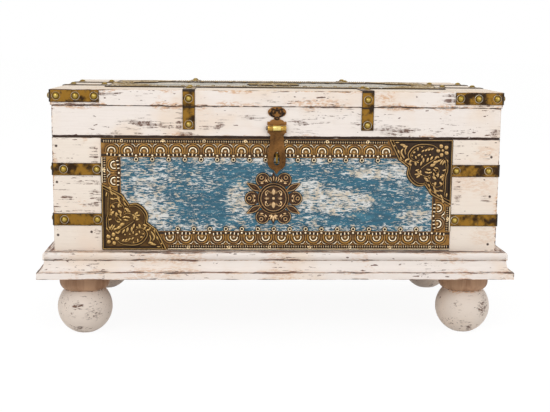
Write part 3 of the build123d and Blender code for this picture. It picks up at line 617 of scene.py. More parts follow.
def board_edge(node):
    """An edge function for a board that fills its CAD node's box."""
    low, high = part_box(node)
    return lambda t, place: box_edge(t, place, low, high)


def moulding_edge(t, place):
    """Distance to the moulding's lines, or to its mitred corners."""
    x, y, z = t.split(place)
    lines = [t.absolute(t.minus(z, level * MM)) for level in PLINTH_LINES_Z]
    low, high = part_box("plinth_front")
    corner_x = t.minus((high.x - low.x) / 2, t.absolute(x))
    corner_y = t.minus(-low.y, t.absolute(y))
    return t.least(*lines, t.plus(t.most(corner_x, corner_y), 0.001))


def foot_edge(t, place):
    """Distance to a ball foot's waist, or to the floor."""
    z = t.split(place)[2]
    waist = t.absolute(t.minus(z, WAIST_Z * MM))
    return t.least(t.plus(waist, 0.001), t.plus(z, 0.0005))


# ---------------------------------------------------------------- mesh helpers
def node_box(name):
    """Low and high corners of a CAD node in millimetres."""
    low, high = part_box(name)
    return low / MM, high / MM


def from_frame(name):
    """A merged copy of a CAD node in millimetres, its flat faces rejoined."""
    bm = bmesh.new()
    bm.from_mesh(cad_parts[name].data)
    bmesh.ops.remove_doubles(bm, verts=bm.verts, dist=1e-6)
    bmesh.ops.scale(bm, vec=(1 / MM,) * 3, verts=bm.verts)
    bmesh.ops.dissolve_limit(bm, angle_limit=math.radians(1.0), verts=bm.verts, edges=bm.edges)
    return bm


def islands(name):
    """(centre, size) of each loose solid of a CAD node, in millimetres, in a fixed order."""
    bm = from_frame(name)
    left = set(bm.verts)
    found = []
    while left:
        group = []
        edge_of_search = [left.pop()]
        while edge_of_search:
            vert = edge_of_search.pop()
            group.append(vert.co.copy())
            for link in vert.link_edges:
                other = link.other_vert(vert)
                if other in left:
                    left.remove(other)
                    edge_of_search.append(other)
        low = Vector([min(co[i] for co in group) for i in range(3)])
        high = Vector([max(co[i] for co in group) for i in range(3)])
        found.append(((low + high) / 2, high - low))
    bm.free()
    return sorted(found, key=lambda box: [round(value, 1) for value in box[0]])


def piece(bm, name, body, materials, stands_for, crease=32.0):
    """Turns a finished bmesh in millimetres into a shaded piece that rides on a body."""
    bmesh.ops.scale(bm, vec=(MM,) * 3, verts=bm.verts)
    bmesh.ops.recalc_face_normals(bm, faces=bm.faces)
    mesh = bpy.data.meshes.new(name)
    bm.to_mesh(mesh)
    bm.free()
    for material in materials:
        mesh.materials.append(material)
    mesh.shade_smooth()
    mesh.set_sharp_from_angle(angle=math.radians(crease))
    made = bpy.data.objects.new(name, mesh)
    bpy.context.scene.collection.objects.link(made)
    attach(made, body)
    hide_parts(*stands_for)


def slice_along(bm, axis, step):
    """Cuts a mesh across one axis at even stations, so that its long edges can wander."""
    values = [vert.co[axis] for vert in bm.verts]
    low, high = min(values), max(values)
    count = int((high - low) // step)
    way = (X, Y, Z)[axis]
    for i in range(1, count):
        spot = way * (low + (high - low) * i / count)
        everything = bm.verts[:] + bm.edges[:] + bm.faces[:]
        bmesh.ops.bisect_plane(bm, geom=everything, dist=1e-4, plane_co=spot, plane_no=way)


BOARD_STEP = 14.0  # between the cuts that let a board's arrises wander
WEAR_PITCH = 24.0  # size of the dips along a worn arris


def worn_arrises(bm, depth, sharp):
    """Sinks the convex edges by an uneven amount of up to depth."""
    bm.normal_update()
    sunk = {}
    for edge in bm.edges:
        if len(edge.link_faces) == 2 and edge.is_convex and math.degrees(edge.calc_face_angle()) > sharp:
            for vert in edge.verts:
                sunk[vert] = vert.normal.copy()
    for vert, normal in sunk.items():
        fine = noise.noise(vert.co / (WEAR_PITCH / 4) + Vector((7, 3, 1)))
        ripple = noise.noise(vert.co / WEAR_PITCH) + 0.5 * fine
        vert.co -= normal * depth * min(1.0, max(0.0, 0.25 + ripple))


def bevel(bm, edges, offset, segments):
    bmesh.ops.bevel(
        bm, geom=edges, offset=offset, affect="EDGES", segments=segments, profile=0.5, material=-1,
        clamp_overlap=True,
    )


def body_of(node):
    return "lid" if node.startswith("lid") else "carcass"


def board(node, grain="x", depth=0.7, sharp=25.0, edge=None, ending="painted", crease=32.0, **finish):
    """A painted board or moulding: its CAD shape with wandering arrises."""
    bm = from_frame(node)
    slice_along(bm, "xyz".index(grain), BOARD_STEP)
    worn_arrises(bm, depth, sharp)
    material = painted_wood(f"paint_{node}", edge or board_edge(node), grain, **finish)
    piece(bm, f"{node}_{ending}", body_of(node), [material], [node], crease)


def full_spin(bm, outline, centre, steps):
    bmesh.ops.spin(bm, geom=outline, cent=centre, axis=Z, angle=2 * math.pi, steps=steps, use_merge=True)


def turned(profile, steps, relief=None):
    """A solid spun from (radius, height) points round +Z; relief gives each point's patina value."""
    bm = bmesh.new()
    layer = bm.verts.layers.float.new("relief")
    verts = []
    for i, (radius, height) in enumerate(profile):
        vert = bm.verts.new((radius, 0.0, height))
        vert[layer] = relief[i] if relief else 0.0
        verts.append(vert)
    edges = [bm.edges.new(pair) for pair in zip(verts, verts[1:])]
    full_spin(bm, verts + edges, (0, 0, 0), steps)
    bmesh.ops.remove_doubles(bm, verts=bm.verts, dist=1e-4)
    return bm


def as_mesh(bm):
    """A plain mesh of a bmesh, which it uses up."""
    mesh = bpy.data.meshes.new("motif")
    bm.to_mesh(mesh)
    bm.free()
    return mesh


def scatter(source, places):
    """A bmesh with one copy of the source at each matrix."""
    mesh = as_mesh(source)
    bm = bmesh.new()
    for matrix in places:
        start = len(bm.verts)
        bm.from_mesh(mesh)
        bm.verts.ensure_lookup_table()
        bmesh.ops.transform(bm, matrix=matrix, verts=bm.verts[start:])
    bpy.data.meshes.remove(mesh)
    return bm


def absorb(bm, other):
    mesh = as_mesh(other)
    bm.from_mesh(mesh)
    bpy.data.meshes.remove(mesh)


def frame_matrix(origin, across, along, outwards):
    """Maps flat x, y, z to the given directions at an origin."""
    return Matrix.Translation(origin) @ Matrix((across, along, outwards)).transposed().to_4x4()


# ---------------------------------------------------------------- stamped sheet
def smooth_path(spots, steps=5):
    """Points on a smooth line through the given spots."""
    ends = [spots[0], *spots, spots[-1]]
    path = []
    for i in range(1, len(ends) - 2):
        a, b, c, d = (Vector(spot) for spot in ends[i - 1 : i + 3])
        for k in range(steps):
            s = k / steps
            bend = (2 * a - 5 * b + 4 * c - d) * s**2
            twist = (3 * b - a - 3 * c + d) * s**3
            path.append(0.5 * (2 * b + (c - a) * s + bend + twist))
    path.append(Vector(spots[-1]))
    return path


def spiral(centre, start_radius, end_radius, start_angle, sweep, steps=26):
    """Spots on a spiral; angles in degrees."""
    path = []
    for i in range(steps + 1):
        share = i / steps
        angle = math.radians(start_angle + sweep * share)
        radius = start_radius + (end_radius - start_radius) * share
        path.append(Vector((centre[0] + radius * math.cos(angle), centre[1] + radius * math.sin(angle))))
    return path


def toward(turn):
    """A unit direction at an angle in degrees."""
    return Vector((math.cos(math.radians(turn)), math.sin(math.radians(turn))))


GROUND = 0.45  # patina of a stamping's flat gold ground
PIT = 0.01  # patina of a punched pit, the darkest tone, also painted shade in the hollow
SKIRT = 0.06
MOAT = 0.85  # width of the dark line round each raised form, patina and painted shade at its foot


def tone_at(rise):
    """Patina of a point that stands so far above its sheet: low points dark as patina and painted shade, high
    points pale as polish and painted highlight.
    """
    return min(1.0, max(PIT, (rise - 0.1) / 1.35))


def rib_profile(thick, height, sides=5):
    """(offset, rise) points across a rib: its dark skirts of patina and painted shade, its half round and its
    underside.
    """
    turns = [math.pi * k / (sides - 1) for k in range(sides)]
    dome = [(thick * math.cos(turn), max(SKIRT, height * math.sin(turn))) for turn in turns]
    reach = thick + MOAT
    return [(reach, SKIRT), *dome, (-reach, SKIRT), (-reach, -0.5), (reach, -0.5)]


def verts_of(items):
    return [item for item in items if isinstance(item, bmesh.types.BMVert)]


class Stamping:
    """Relief on a flat sheet, in millimetres: x and y in its plane and z out of it."""

    def __init__(self):
        self.bm = bmesh.new()
        self.bm.verts.layers.float.new("relief")

    def colour(self, vert, tone):
        vert[self.bm.verts.layers.float["relief"]] = tone

    def lift(self, faces, level, tone):
        raised = verts_of(bmesh.ops.extrude_face_region(self.bm, geom=faces)["geom"])
        bmesh.ops.translate(self.bm, vec=(0, 0, level), verts=raised)
        for vert in raised:
            self.colour(vert, tone)

    def sheet(self, outline, top=SHEET, tone=GROUND):
        verts = [self.bm.verts.new((x, y, 0.0)) for x, y in outline]
        self.lift([self.bm.faces.new(verts)], top, tone)

    def disc(self, centre, radius, top=SHEET, sides=20, tone=GROUND):
        spot = Matrix.Translation((*centre, 0.0))
        made = bmesh.ops.create_circle(self.bm, cap_ends=True, segments=sides, radius=radius, matrix=spot)
        self.lift(list({face for vert in made["verts"] for face in vert.link_faces}), top, tone)

    def across(self, thick, height, spot):
        """The outline of a rib, where spot(offset, rise) gives the place of each point."""
        verts = []
        for offset, rise in rib_profile(thick, height):
            vert = self.bm.verts.new(spot(offset, rise))
            self.colour(vert, tone_at(rise))
            verts.append(vert)
        return verts

    def ridge(self, path, thick, height, level=SHEET, taper=0.0):
        """A half-round rib along a path; taper narrows it towards both ends."""
        path = [Vector(spot) for spot in path]
        last = len(path) - 1
        face = None
        before = None
        for i, spot in enumerate(path):
            ahead = path[min(i + 1, last)] - path[max(i - 1, 0)]
            size = 1.0 - taper * abs(2 * i / last - 1) ** 2
            turn = Matrix.Rotation(math.atan2(ahead.y, ahead.x), 4, "Z")
            here = Matrix.Translation((spot.x, spot.y, level)) @ turn @ Matrix.Diagonal((1, size, size, 1))
            if face is None:
                outline = self.across(thick, height, lambda *at: here @ Vector((0, *at)))
                face = self.bm.faces.new(outline)
            else:
                moved = bmesh.ops.extrude_face_region(self.bm, geom=[face])["geom"]
                face = next(item for item in moved if isinstance(item, bmesh.types.BMFace))
                bmesh.ops.transform(self.bm, matrix=here @ before.inverted(), verts=verts_of(moved))
            before = here

    def line(self, spots, thick, height, taper=0.4, steps=5):
        """A smooth rib through spots given in the plane."""
        self.ridge(smooth_path(spots, steps), thick, height, taper=taper)

    def arc(self, centre, radius, start, sweep, thick, height, level=SHEET, steps=18, taper=0.0):
        self.ridge(spiral(centre, radius, radius, start, sweep, steps), thick, height, level, taper)

    def ring(self, centre, radius, thick, height, level=SHEET, steps=18):
        """A closed half-round ring."""
        x, y = centre
        verts = self.across(thick, height, lambda offset, rise: (x + radius + offset, y, level + rise))
        edges = [self.bm.edges.new(pair) for pair in zip(verts, verts[1:] + verts[:1])]
        full_spin(self.bm, verts + edges, (x, y, 0.0), steps)

    def bead(self, spot, half_x, half_y, height, level=SHEET, angle=0.0, pointed=0.0, fine=2):
        """A half-buried dome on a dark skirt of patina and painted shade; pointed draws its two x ends into
        points, as a leaf has.
        """
        made = bmesh.ops.create_icosphere(self.bm, subdivisions=fine, radius=1.0)["verts"]
        turn = Matrix.Rotation(math.radians(angle), 4, "Z")
        for vert in made:
            x, y, z = vert.co
            skirt = MOAT if z < 0.1 else 0.0
            rise = SKIRT if z < 0.1 else height * z * (1.0 - 0.4 * pointed * x * x)
            if z < -0.1:
                rise = -0.6
            y *= 1.0 - pointed * x * x
            flat = Vector((x * (half_x + skirt), y * (half_y + skirt), rise))
            vert.co = turn @ flat + Vector((*spot, level))
            self.colour(vert, tone_at(rise))

    def leaf(self, root, angle, length, width, height=2.1, level=SHEET):
        """An almond leaf that starts at its root."""
        turn = math.radians(angle)
        spot = (root[0] + length / 2 * math.cos(turn), root[1] + length / 2 * math.sin(turn))
        self.bead(spot, length / 2, width / 2, height, level, angle, pointed=0.75)

    def flower(self, centre, petals, reach, width, turn, heart):
        for i in range(petals):
            self.leaf(centre, turn + 360 * i / petals, reach, width, 2.0)
        self.bead(centre, heart, heart, 2.4)


def bowl_motif():
    """One bowl of the border, centred on X=0: a gold band round a pale shell with two pits."""
    s = Stamping()
    centre = (0.0, BOWL_CENTRE)
    s.arc(centre, 11.2, 160, 220, 1.9, 1.05, steps=20)
    s.arc(centre, 6.6, 165, 210, 1.6, 1.7, steps=14)
    s.bead((0.0, BOWL_CENTRE + 0.6), 3.6, 3.2, 1.3)
    s.bead((0.0, BOWL_CENTRE + 7.0), 1.3, 3.8, 1.7)
    for side in (-1, 1):
        s.disc((side * 4.5, BOWL_CENTRE + 6.8), 2.8, SHEET + 0.05, 12, PIT)
        s.leaf((side * 7.6, BOWL_CENTRE + 3.0), 90 + side * 6, 7.6, 2.8, 2.1)
    return s.bm


def web_motif():
    """The fork between two bowls, centred on X=0."""
    s = Stamping()
    s.bead((0.0, 22.6), 1.4, 8.0, 1.1)
    s.bead((0.0, 33.0), 2.2, 2.0, 2.6)
    for side in (-1, 1):
        s.line([(side * 8.4, 11.4), (side * 4.4, 12.6), (side * 1.0, 17.0)], 1.15, 1.5, 0.3, 3)
    return s.bm


def dash_motif():
    """One tooth of the comb along the outer edge."""
    s = Stamping()
    s.bead((0.0, 6.4), 1.3, 2.7, 3.4, fine=1)
    return s.bm


def pendant_motif():
    """A ring and a pit on the disc that hangs between two bowls."""
    s = Stamping()
    spot = (0.0, PENDANT_CENTRE)
    s.disc(spot, PENDANT_RADIUS - 0.1, SHEET + 0.05, 18, PIT)
    s.ring(spot, 3.2, 1.25, 2.3, steps=16)
    s.disc(spot, 1.3, SHEET + 0.2, 10, PIT)
    return s.bm


def repeat(bm, source, offsets, sway=0.0):
    """Adds copies along X, each turned by up to sway degrees about the bowls' centre line."""
    to_pivot = Matrix.Translation((0, -BOWL_CENTRE, 0))
    places = []
    for i, offset in enumerate(offsets):
        turn = Matrix.Rotation(math.radians(sway * math.sin(2.4 * i + 1.0)), 4, "Z")
        places.append(Matrix.Translation((offset, BOWL_CENTRE, 0)) @ turn @ to_pivot)
    absorb(bm, scatter(source, places))


def bowl_places(length, plate_at_start, plate_at_end):
    """Distances along a border to its bowls, of which the nearest stands close to a corner plate."""
    far_room = BOWL_LEAD if plate_at_start and plate_at_end else BOWL_RADIUS
    count = int((length - BOWL_LEAD - far_room) // BOWL_PITCH) + 1
    run = (count - 1) * BOWL_PITCH
    if plate_at_start and plate_at_end:
        first = (length - run) / 2
    elif plate_at_start:
        first = BOWL_LEAD
    else:
        first = length - BOWL_LEAD - run
    return [first + i * BOWL_PITCH for i in range(count)]


def border_relief(length, start_slope, end_slope, rim=1.5):
    """A stamped border along +X with its outer edge on Y=0; its sloped ends follow the corner plates."""
    places = bowl_places(length, start_slope > 0, end_slope > 0)
    webs = [place + BOWL_PITCH / 2 for place in places[:-1]]
    clear = BORDER_WIDTH + PENDANT_RADIUS
    low = 0 if start_slope else clear
    high = length if end_slope else length - clear
    s = Stamping()

    def band(near, far, start, end, *finish):
        """A strip of sheet whose two ends follow the corner plates."""
        s.sheet([(start[0], near), (end[0], near), (end[1], far), (start[1], far)], *finish)

    band(0, BORDER_WIDTH, (0, -BORDER_WIDTH * start_slope), (length, length + BORDER_WIDTH * end_slope))
    band(*COMB_BAND, (0.3, 0.3), (length - 0.3, length - 0.3), SHEET + 0.04, PIT)
    # The outer roll: a low rim gets a dark tone, which on the top border is painted shade under the lid's
    # overhang
    s.ridge([(0.2, 1.5), (length - 0.2, 1.5)], 1.5, rim)
    start, end = -INNER_BAND[1] * start_slope, length + INNER_BAND[1] * end_slope
    band(*INNER_BAND, (start, start), (end, end), SHEET + 0.04, INNER_TONE)
    pin_count = int(length // PIN_SPACING) + 1
    for i in range(pin_count):
        spot = (length * (i + 0.5) / pin_count, PIN_LINE)
        s.ring(spot, 2.4, 1.1, 2.5, steps=12)
        s.disc(spot, 1.1, SHEET + 0.2, 8, PIT)
    repeat(s.bm, bowl_motif(), places, sway=9.0)
    repeat(s.bm, web_motif(), webs)
    repeat(s.bm, pendant_motif(), [web for web in webs if low <= web <= high])
    repeat(s.bm, dash_motif(), [DASH_PITCH * (i + 0.5) for i in range(int(length / DASH_PITCH))])
    return s.bm


def plate_outline():
    """The corner plate's outline, its outer corner on the origin."""
    def spots(*shares):
        return [Vector((PLATE_SHORT * a, PLATE_LONG * b)) for a, b in shares]

    lobe = smooth_path(spots((0.69, 0.42), (0.705, 0.535), (0.64, 0.64), (0.535, 0.705), (0.42, 0.69)), 4)
    return [*spots((1, 0), SHOULDER), *lobe, *spots(SHOULDER[::-1], (0, 1))]


# Leaves of a corner plate: root, direction in degrees, length, width
CORNER_LEAVES = (
    (104, 9, 170, 12, 4.2), (98, 14, 185, 10, 4), (107, 17, 120, 9, 3.4), (100, 30, 100, 9, 3.2),
    (92, 40, 200, 9, 3.6), (61, 25, 222, 7.5, 3.2), (55, 23.6, 222, 7.5, 3.2), (49, 22.4, 222, 7.5, 3.2),
    (43, 21.2, 222, 7.5, 3.2), (56, 46, 268, 10, 3.8), (50, 45, 250, 10, 4.2), (44, 41, 236, 10, 3.6),
    (36, 38, 222, 9.5, 3.6), (39, 46, 205, 12, 5), (30, 43, 212, 9, 3.4), (45, 52, 205, 12, 5.6),
    (36, 52, 160, 9, 3.4), (26, 50, 236, 13, 3.2), (21.5, 51, 238, 13, 3.2), (62, 52, 250, 10, 3.6),
    (69, 52, 285, 10, 4), (76, 50, 330, 9, 3.6), (60, 56, 80, 9, 3.4), (52, 56, 170, 10, 3.6),
    (55, 61, 165, 10, 3.4), (72, 60, 200, 8, 3.2), (74, 67, 190, 8, 3.2), (70, 74, 215, 8, 3),
    (56, 71, 150, 11, 3.8), (48, 65, 200, 9, 3.2), (53, 77, 165, 9, 3.2), (46, 83, 120, 8, 3),
    (36, 61, 100, 8, 3.2), (38, 55, 140, 7, 2.8), (28.5, 77, -37, 10, 5), (27.5, 74, -95, 9, 4.4),
    (25, 75, -142, 10, 4.2), (30, 79, 72, 9, 4.4), (25, 79, 130, 9, 4), (34, 93, 110, 11, 4.2),
    (26, 96, 165, 9, 3.6), (22, 103, 118, 10, 3.8), (17, 110, 95, 10, 3.4), (30, 104, 150, 9, 3),
    (42, 92, 95, 9, 3.4), (20, 60, 200, 8, 3), (21, 66, 160, 7, 2.8), (12, 46, 300, 7, 2.6),
    (8, 100, 80, 9, 3), (84, 46, 230, 9, 3.4), (88, 36, 70, 8, 3), (112, 5.8, 180, 8, 2.4),
    (33, 30, 150, 8, 3.4), (12, 36, 120, 7, 2.8),
)
# Seeds: place, half sizes, turn in degrees
CORNER_SEEDS = (
    (66.9, 17.7, 1.6, 3.6, 0), (73.8, 24.4, 2.6, 1.9, 20), (64.5, 29.5, 3.4, 2, 30),
    (70.4, 34, 1.6, 3, 10), (77.4, 30.5, 1.8, 1.8, 0), (58.5, 33, 1.5, 3, 0), (59, 14.5, 1.6, 1.6, 0),
    (52, 30, 1.7, 1.7, 0), (43, 29, 1.7, 1.7, 0), (112, 12, 1.7, 1.7, 0), (104, 24, 1.5, 2.6, 20),
    (95, 43, 1.6, 1.6, 0), (66, 70, 1.6, 1.6, 0), (44, 73, 1.5, 1.5, 0), (18, 76, 1.6, 2.6, 0),
    (36, 84, 1.6, 1.6, 0), (14.5, 118, 1.2, 3, 0), (66, 43.5, 2, 1.4, 0), (30, 68, 1.4, 1.4, 0),
)
# Vines: half thickness, height, then the places it passes
CORNER_VINES = (
    (1.25, 2.5, ((29, 17), (35, 12.4), (42, 10), (54, 9), (66, 9.8), (76, 14.4), (82.5, 22), (85.4, 29),
                 (83, 36.5), (76.5, 41.4), (69, 42), (63.5, 38.5))),
    (1.0, 2.2, ((54, 13), (64, 13.6), (72, 17.6), (78, 24), (80.6, 30), (78.6, 35.6), (73, 38.4))),
    (1.9, 2.4, ((95.4, 17.7), (98.6, 25), (92.5, 35.5))),
    (1.6, 2.3, ((88, 13.5), (91.6, 20.5), (89.6, 28.5))),
    (1.1, 2.3, ((51, 18.4), (45, 15.8), (37, 17))),
    (1.1, 2.4, ((14.3, 33.5), (9.2, 43.3), (8.6, 59), (11.4, 68.9), (11.8, 83.6), (12.2, 98.4), (13.8, 109))),
    (0.9, 2.2, ((18, 36), (13, 47), (12, 58), (15, 69), (15.6, 84), (16.4, 98))),
    (1.8, 2.4, ((35.4, 88.5), (31, 97), (23.6, 98.4))),
    (1.1, 2.3, ((60, 55), (52, 49), (43, 43), (33, 37), (27, 31))),
    (1.1, 2.2, ((57, 68), (48, 70.5), (42, 67.5))),
)


def corner_relief(ground=0.30):
    """A corner stamping: flower, vines, scrolls and a leafy spray inside a double rim."""
    s = Stamping()
    inner = plate_outline()
    s.sheet([(0, 0), *inner], tone=ground)
    for level, thick, height in ((1.6, 1.3, 1.5), (5.4, 0.45, 1.1)):
        s.ridge([(level, 1), (level, PLATE_LONG - 5)], thick, height)
        s.ridge([(1, level), (PLATE_SHORT - 5, level)], thick, height)
    centre = Vector((12.0, 12.0))
    for inset, thick, height in ((0.97, 1.5, 2.3), (0.92, 1.1, 2.1)):
        s.ridge([centre + (spot - centre) * inset for spot in inner], thick, height)

    flower = Vector((19.2, 20.6))
    for turn in range(4, 364, 72):
        s.bead(flower + toward(turn) * 8.8, 4.8, 4.2, 2.2, angle=turn)
    s.bead(flower, 2.8, 2.8, 2.7)
    for thick, height, spots in CORNER_VINES:
        s.line(spots, thick * 1.25, height * 1.1)
    for x, y, angle, length, width in CORNER_LEAVES:
        s.leaf((x, y), angle, length * 1.35, width * 1.4)
    for x, y, half_x, half_y, angle in CORNER_SEEDS:
        s.bead((x, y), half_x * 1.2, half_y * 1.2, 2.3, angle=angle)
    s.flower((63, 65), 5, 7.5, 4.6, turn=15, heart=1.9)
    s.ridge(spiral((29.5, 60), 5.8, 1.6, -40, -430, 26), 1.1, 2.3, taper=0.2)
    s.ridge(spiral((28.5, 77), 14.0, 13.0, -30, 240, 30), 1.25, 2.5, taper=0.3)
    return s.bm


def rosette_lobe(s, turn, level):
    """A round lobe with a pale outline, and a ring over a curved fold."""
    way = toward(turn)
    s.disc(way * 41.0, 13.6, level, 24, 0.34)
    s.arc(way * 41.0, 12.2, turn - 112, 224, 1.1, 2.0, level, steps=22)
    s.ring(way * 46.0, 3.2, 1.3, 2.3, level, steps=14)
    s.disc(way * 46.0, 1.4, level + 0.2, 10, PIT)
    s.arc(way * 46.5, 8.4, turn + 118, 124, 1.3, 2.3, level, steps=12, taper=0.5)
    for side in (-1, 1):
        s.leaf(way * 34.0, turn + side * 64, 10.0, 4.4, 1.7, level)


LEAF_ROOT = 27.0
LEAF_HALF_WIDTH = 6.4


def leaf_sheet(s, turn, belly, tip, top, tone):
    """A four-cornered sheet from a leaf's root over its belly to its tip."""
    way = toward(turn)
    side = way.orthogonal() * LEAF_HALF_WIDTH
    s.sheet([way * LEAF_ROOT, way * belly - side, way * tip, way * belly + side], top, tone)


def rosette_leaf(s, turn, reach):
    """A pointed leaf with a pale double outline."""
    way = toward(turn)
    belly = LEAF_ROOT + (reach - LEAF_ROOT) * 0.45
    leaf_sheet(s, turn, belly, reach, SHEET + 0.15, 0.4)
    for side in (-4.9, 4.9):
        spots = [way * LEAF_ROOT, way * belly + way.orthogonal() * side, way * reach * 0.98]
        s.ridge(smooth_path(spots, 6), 1.25, 2.4, taper=0.2)
    s.leaf(way * 35.0, turn, reach - 43, 4.4, 1.1, SHEET + 0.15)


def rosette_relief():
    """The flower: a ringed medallion, six round petals and pointed leaves."""
    s = Stamping()
    s.disc((0, 0), 29.5, SHEET + 0.3, 48, 0.2)
    for i in range(6):
        rosette_lobe(s, i * 60.0, SHEET + 0.02 * i)
    for turn in (30, 150, 210, 330):
        rosette_leaf(s, turn, 59.0)
    for turn in (90, 270):
        leaf_sheet(s, turn, 37.4, 50.0, SHEET + 0.1, 0.3)
    for i in range(-3, 4):
        s.leaf(toward(90 + 6 * i) * 31.0, 90 + 15 * i, 14.0 - 1.6 * abs(i), 2.6, 2.5)
    for i in range(-2, 3):
        s.leaf(toward(270) * 31.0, 270 + 34 * i, 16.0 - 2.6 * abs(i), 5.0, 2.1)

    medallion = SHEET + 0.8
    s.disc((0, 0), 23.4, medallion, 40, 0.3)
    s.ring((0, 0), 28.6, 1.1, 2.6, SHEET + 0.2, steps=56)
    s.ring((0, 0), 23.8, 1.3, 2.8, SHEET + 0.4, steps=48)
    for turn in (90, 270):
        s.leaf(toward(turn) * 3.5, turn, 18.0, 9.5, 2.0, medallion)
        for side in (-1, 1):
            s.leaf(toward(turn) * 7.0, turn + side * 50, 13.0, 8.0, 1.3, medallion)
    for turn in (0, 180):
        s.leaf(toward(turn) * 4.0, turn, 17.0, 9.0, 1.4, medallion)
        for side in (-1, 1):
            s.leaf(toward(turn + side * 18) * 13.0, turn + side * 60, 8.0, 5.0, 1.8, medallion)
    for turn in (42, 138, 222, 318):
        curl = toward(turn) * 15.6
        s.arc(curl, 4.0, turn - 120, 240, 1.5, 2.0, medallion, steps=14, taper=0.4)
        s.bead(curl, 1.5, 1.5, 2.0, medallion)
    s.bead((0, 0), 3.2, 3.2, 2.4, medallion)
    return s.bm


# ---------------------------------------------------------------- pieces
# Colours of the hollows (patina and painted shade), the body, its darker tint and the polished heights (polish
# and painted highlight), then the share of grime
STAMPED = old_brass("stamped_brass", (28, 16, 7), (158, 116, 56), (116, 80, 38), (255, 240, 210), 0.25)
PLATE = old_brass("plate_brass", (28, 17, 7), (98, 69, 28), (74, 49, 19), (188, 154, 98), 0.35)
DARK_PLATE = old_brass("dark_plate_brass", (24, 14, 6), (66, 43, 18), (50, 31, 13), (188, 154, 104), 0.3)
# The lid's brass is a darker, less polished copy of the stamped brass: painted shade on the lid's upper face
LID_FRAME_BRASS = old_brass("lid_frame_brass", (32, 22, 12), (88, 68, 42), (66, 48, 28), (164, 142, 104), 0.7)
FLOWER = old_brass("flower_brass", (21, 12, 6), (84, 57, 32), (68, 41, 22), (214, 180, 136), 0.35)
STRAP = old_brass("strap_brass", (32, 19, 5), (146, 105, 29), (50, 31, 7), (214, 172, 88), 0.8, scale=1.1)
NAIL = old_brass("nail_brass", (52, 36, 8), (150, 120, 40), (112, 86, 24), (232, 210, 128), 0.2, scale=1.6)
FLANGE = old_brass("nail_flange", (52, 35, 14), (138, 106, 54), (92, 66, 30), (252, 242, 222), 0.7, scale=1.1)
HASP = old_brass("hasp_brass", (24, 14, 9), (36, 20, 12), (28, 16, 9), (138, 96, 52), 0.4, scale=0.8)
IRON = old_brass("dark_iron", (30, 26, 24), (66, 58, 54), (84, 58, 44), (130, 120, 112), 0.6)


def painted_boards():
    middle_z = sum(FRAME_Z) / 2
    half_z = (FRAME_Z[1] - FRAME_Z[0]) / 2

    def front_field(t, place):
        return blue_field(t, place, middle_z, FRAME_X, half_z, 2, FRONT_PATCHES)

    def lid_field(t, place):
        return blue_field(t, place, 0.0, *LID_FRAME, 1, LID_PATCHES)

    board(
        "front_board", field=front_field, bare_inside=True, patches=FRONT_SCUFFS, blotches=FRONT_BLOTCHES,
        holes=NAIL_HOLES, seams=SEAMS[:1], stains=1.3, paint=FRONT_CREAM,
    )
    board("back_board", scuffs=1.3, bare_inside=True, seams=SEAMS[:1])
    for side in SIDES:
        board(f"side_board_{side}", "y", scuffs=1.2, bare_inside=True, seams=SEAMS[:1])
        board(f"lid_rail_{side}", "y", scuffs=1.2, bare_inside=True, seams=SEAMS)
    board("lid_rail_front", scuffs=1.25, stains=1.3, bare_inside=True, patches=RAIL_SCUFFS, seams=SEAMS)
    board("lid_rail_back", bare_inside=True, seams=SEAMS)
    board(
        "lid_top_board", field=lid_field, scuffs=1.25, stains=1.5, bare_inside=True, patches=LID_EDGE_SCUFFS,
        blotches=LID_BLOTCHES, seams=SEAMS[1:], dusty_top=True,
    )


def plinth():
    wear = {"depth": 0.8, "sharp": 18.0, "scuffs": 1.6, "stains": 0.75, "rub": 0.75}
    for side, grain in (("front", "x"), ("back", "x"), ("left", "y"), ("right", "y")):
        board(f"plinth_{side}", grain, edge=moulding_edge, ending="moulding", crease=28.0, **wear)


# Scuffs on the balls
BALL_SCUFFS = (
    (-380, 60, 14, 8, 0.8), (-352, 44, 22, 16, 0.8), (-384, 12, 12, 8, 0.7), (-394, 40, 12, 8, 0.5),
    (352, 58, 14, 14, 0.6), (404, 54, 14, 22, 1), (380, 12, 6, 10, 0.9),
)


def ball_feet():
    """Turned ball feet with a bare, saucer-shaped collar."""
    low = math.asin(-BALL_CENTRE_Z / BALL_RADIUS)
    high = math.asin((WAIST_Z - BALL_CENTRE_Z) / BALL_RADIUS)
    profile = [(0.0, 0.0)]
    ball_steps = 34
    for i in range(ball_steps + 1):
        turn = low + (high - low) * i / ball_steps
        profile.append((BALL_RADIUS * math.cos(turn), BALL_CENTRE_Z + BALL_RADIUS * math.sin(turn)))
    profile[1] = (profile[1][0], 0.0)
    waist = profile[-1][0]
    cup_steps = 12
    for i in range(1, cup_steps + 1):
        turn = math.pi / 2 * i / cup_steps
        radius = waist - 0.8 + (COLLAR_RADIUS - waist + 0.8) * math.sin(turn)
        profile.append((radius, COLLAR_Z - (COLLAR_Z - WAIST_Z) * math.cos(turn)))
    profile += [(COLLAR_RADIUS, FOOT_HEIGHT - 0.5), (COLLAR_RADIUS - 0.5, FOOT_HEIGHT), (0.0, FOOT_HEIGHT)]
    bm = turned(profile, 72)
    for face in bm.faces:
        face.material_index = int(face.calc_center_median().z > WAIST_Z + 0.2)
    x, y = FOOT_PLACE
    feet = scatter(bm, [Matrix.Translation((x * i, y * j, 0)) for i in (-1, 1) for j in (-1, 1)])
    paint = painted_wood(
        "paint_ball_feet", foot_edge, "x", scuffs=1.8, stains=1.6, patches=BALL_SCUFFS, paint=BALL_SHADED_CREAM
    )
    collar = bare_wood("foot_collar_wood", "z", light=COLLAR_WOOD, dark=COLLAR_WOOD_DARK)
    piece(feet, "ball_feet_turned", "carcass", [paint, collar], ["ball_feet"], crease=24.0)


def lay(source, node, matrices, material):
    """Places copies of a stamping over a CAD node."""
    name = node + "_stamped"
    piece(scatter(source, matrices), name, body_of(node), [material], [node], crease=50.0)


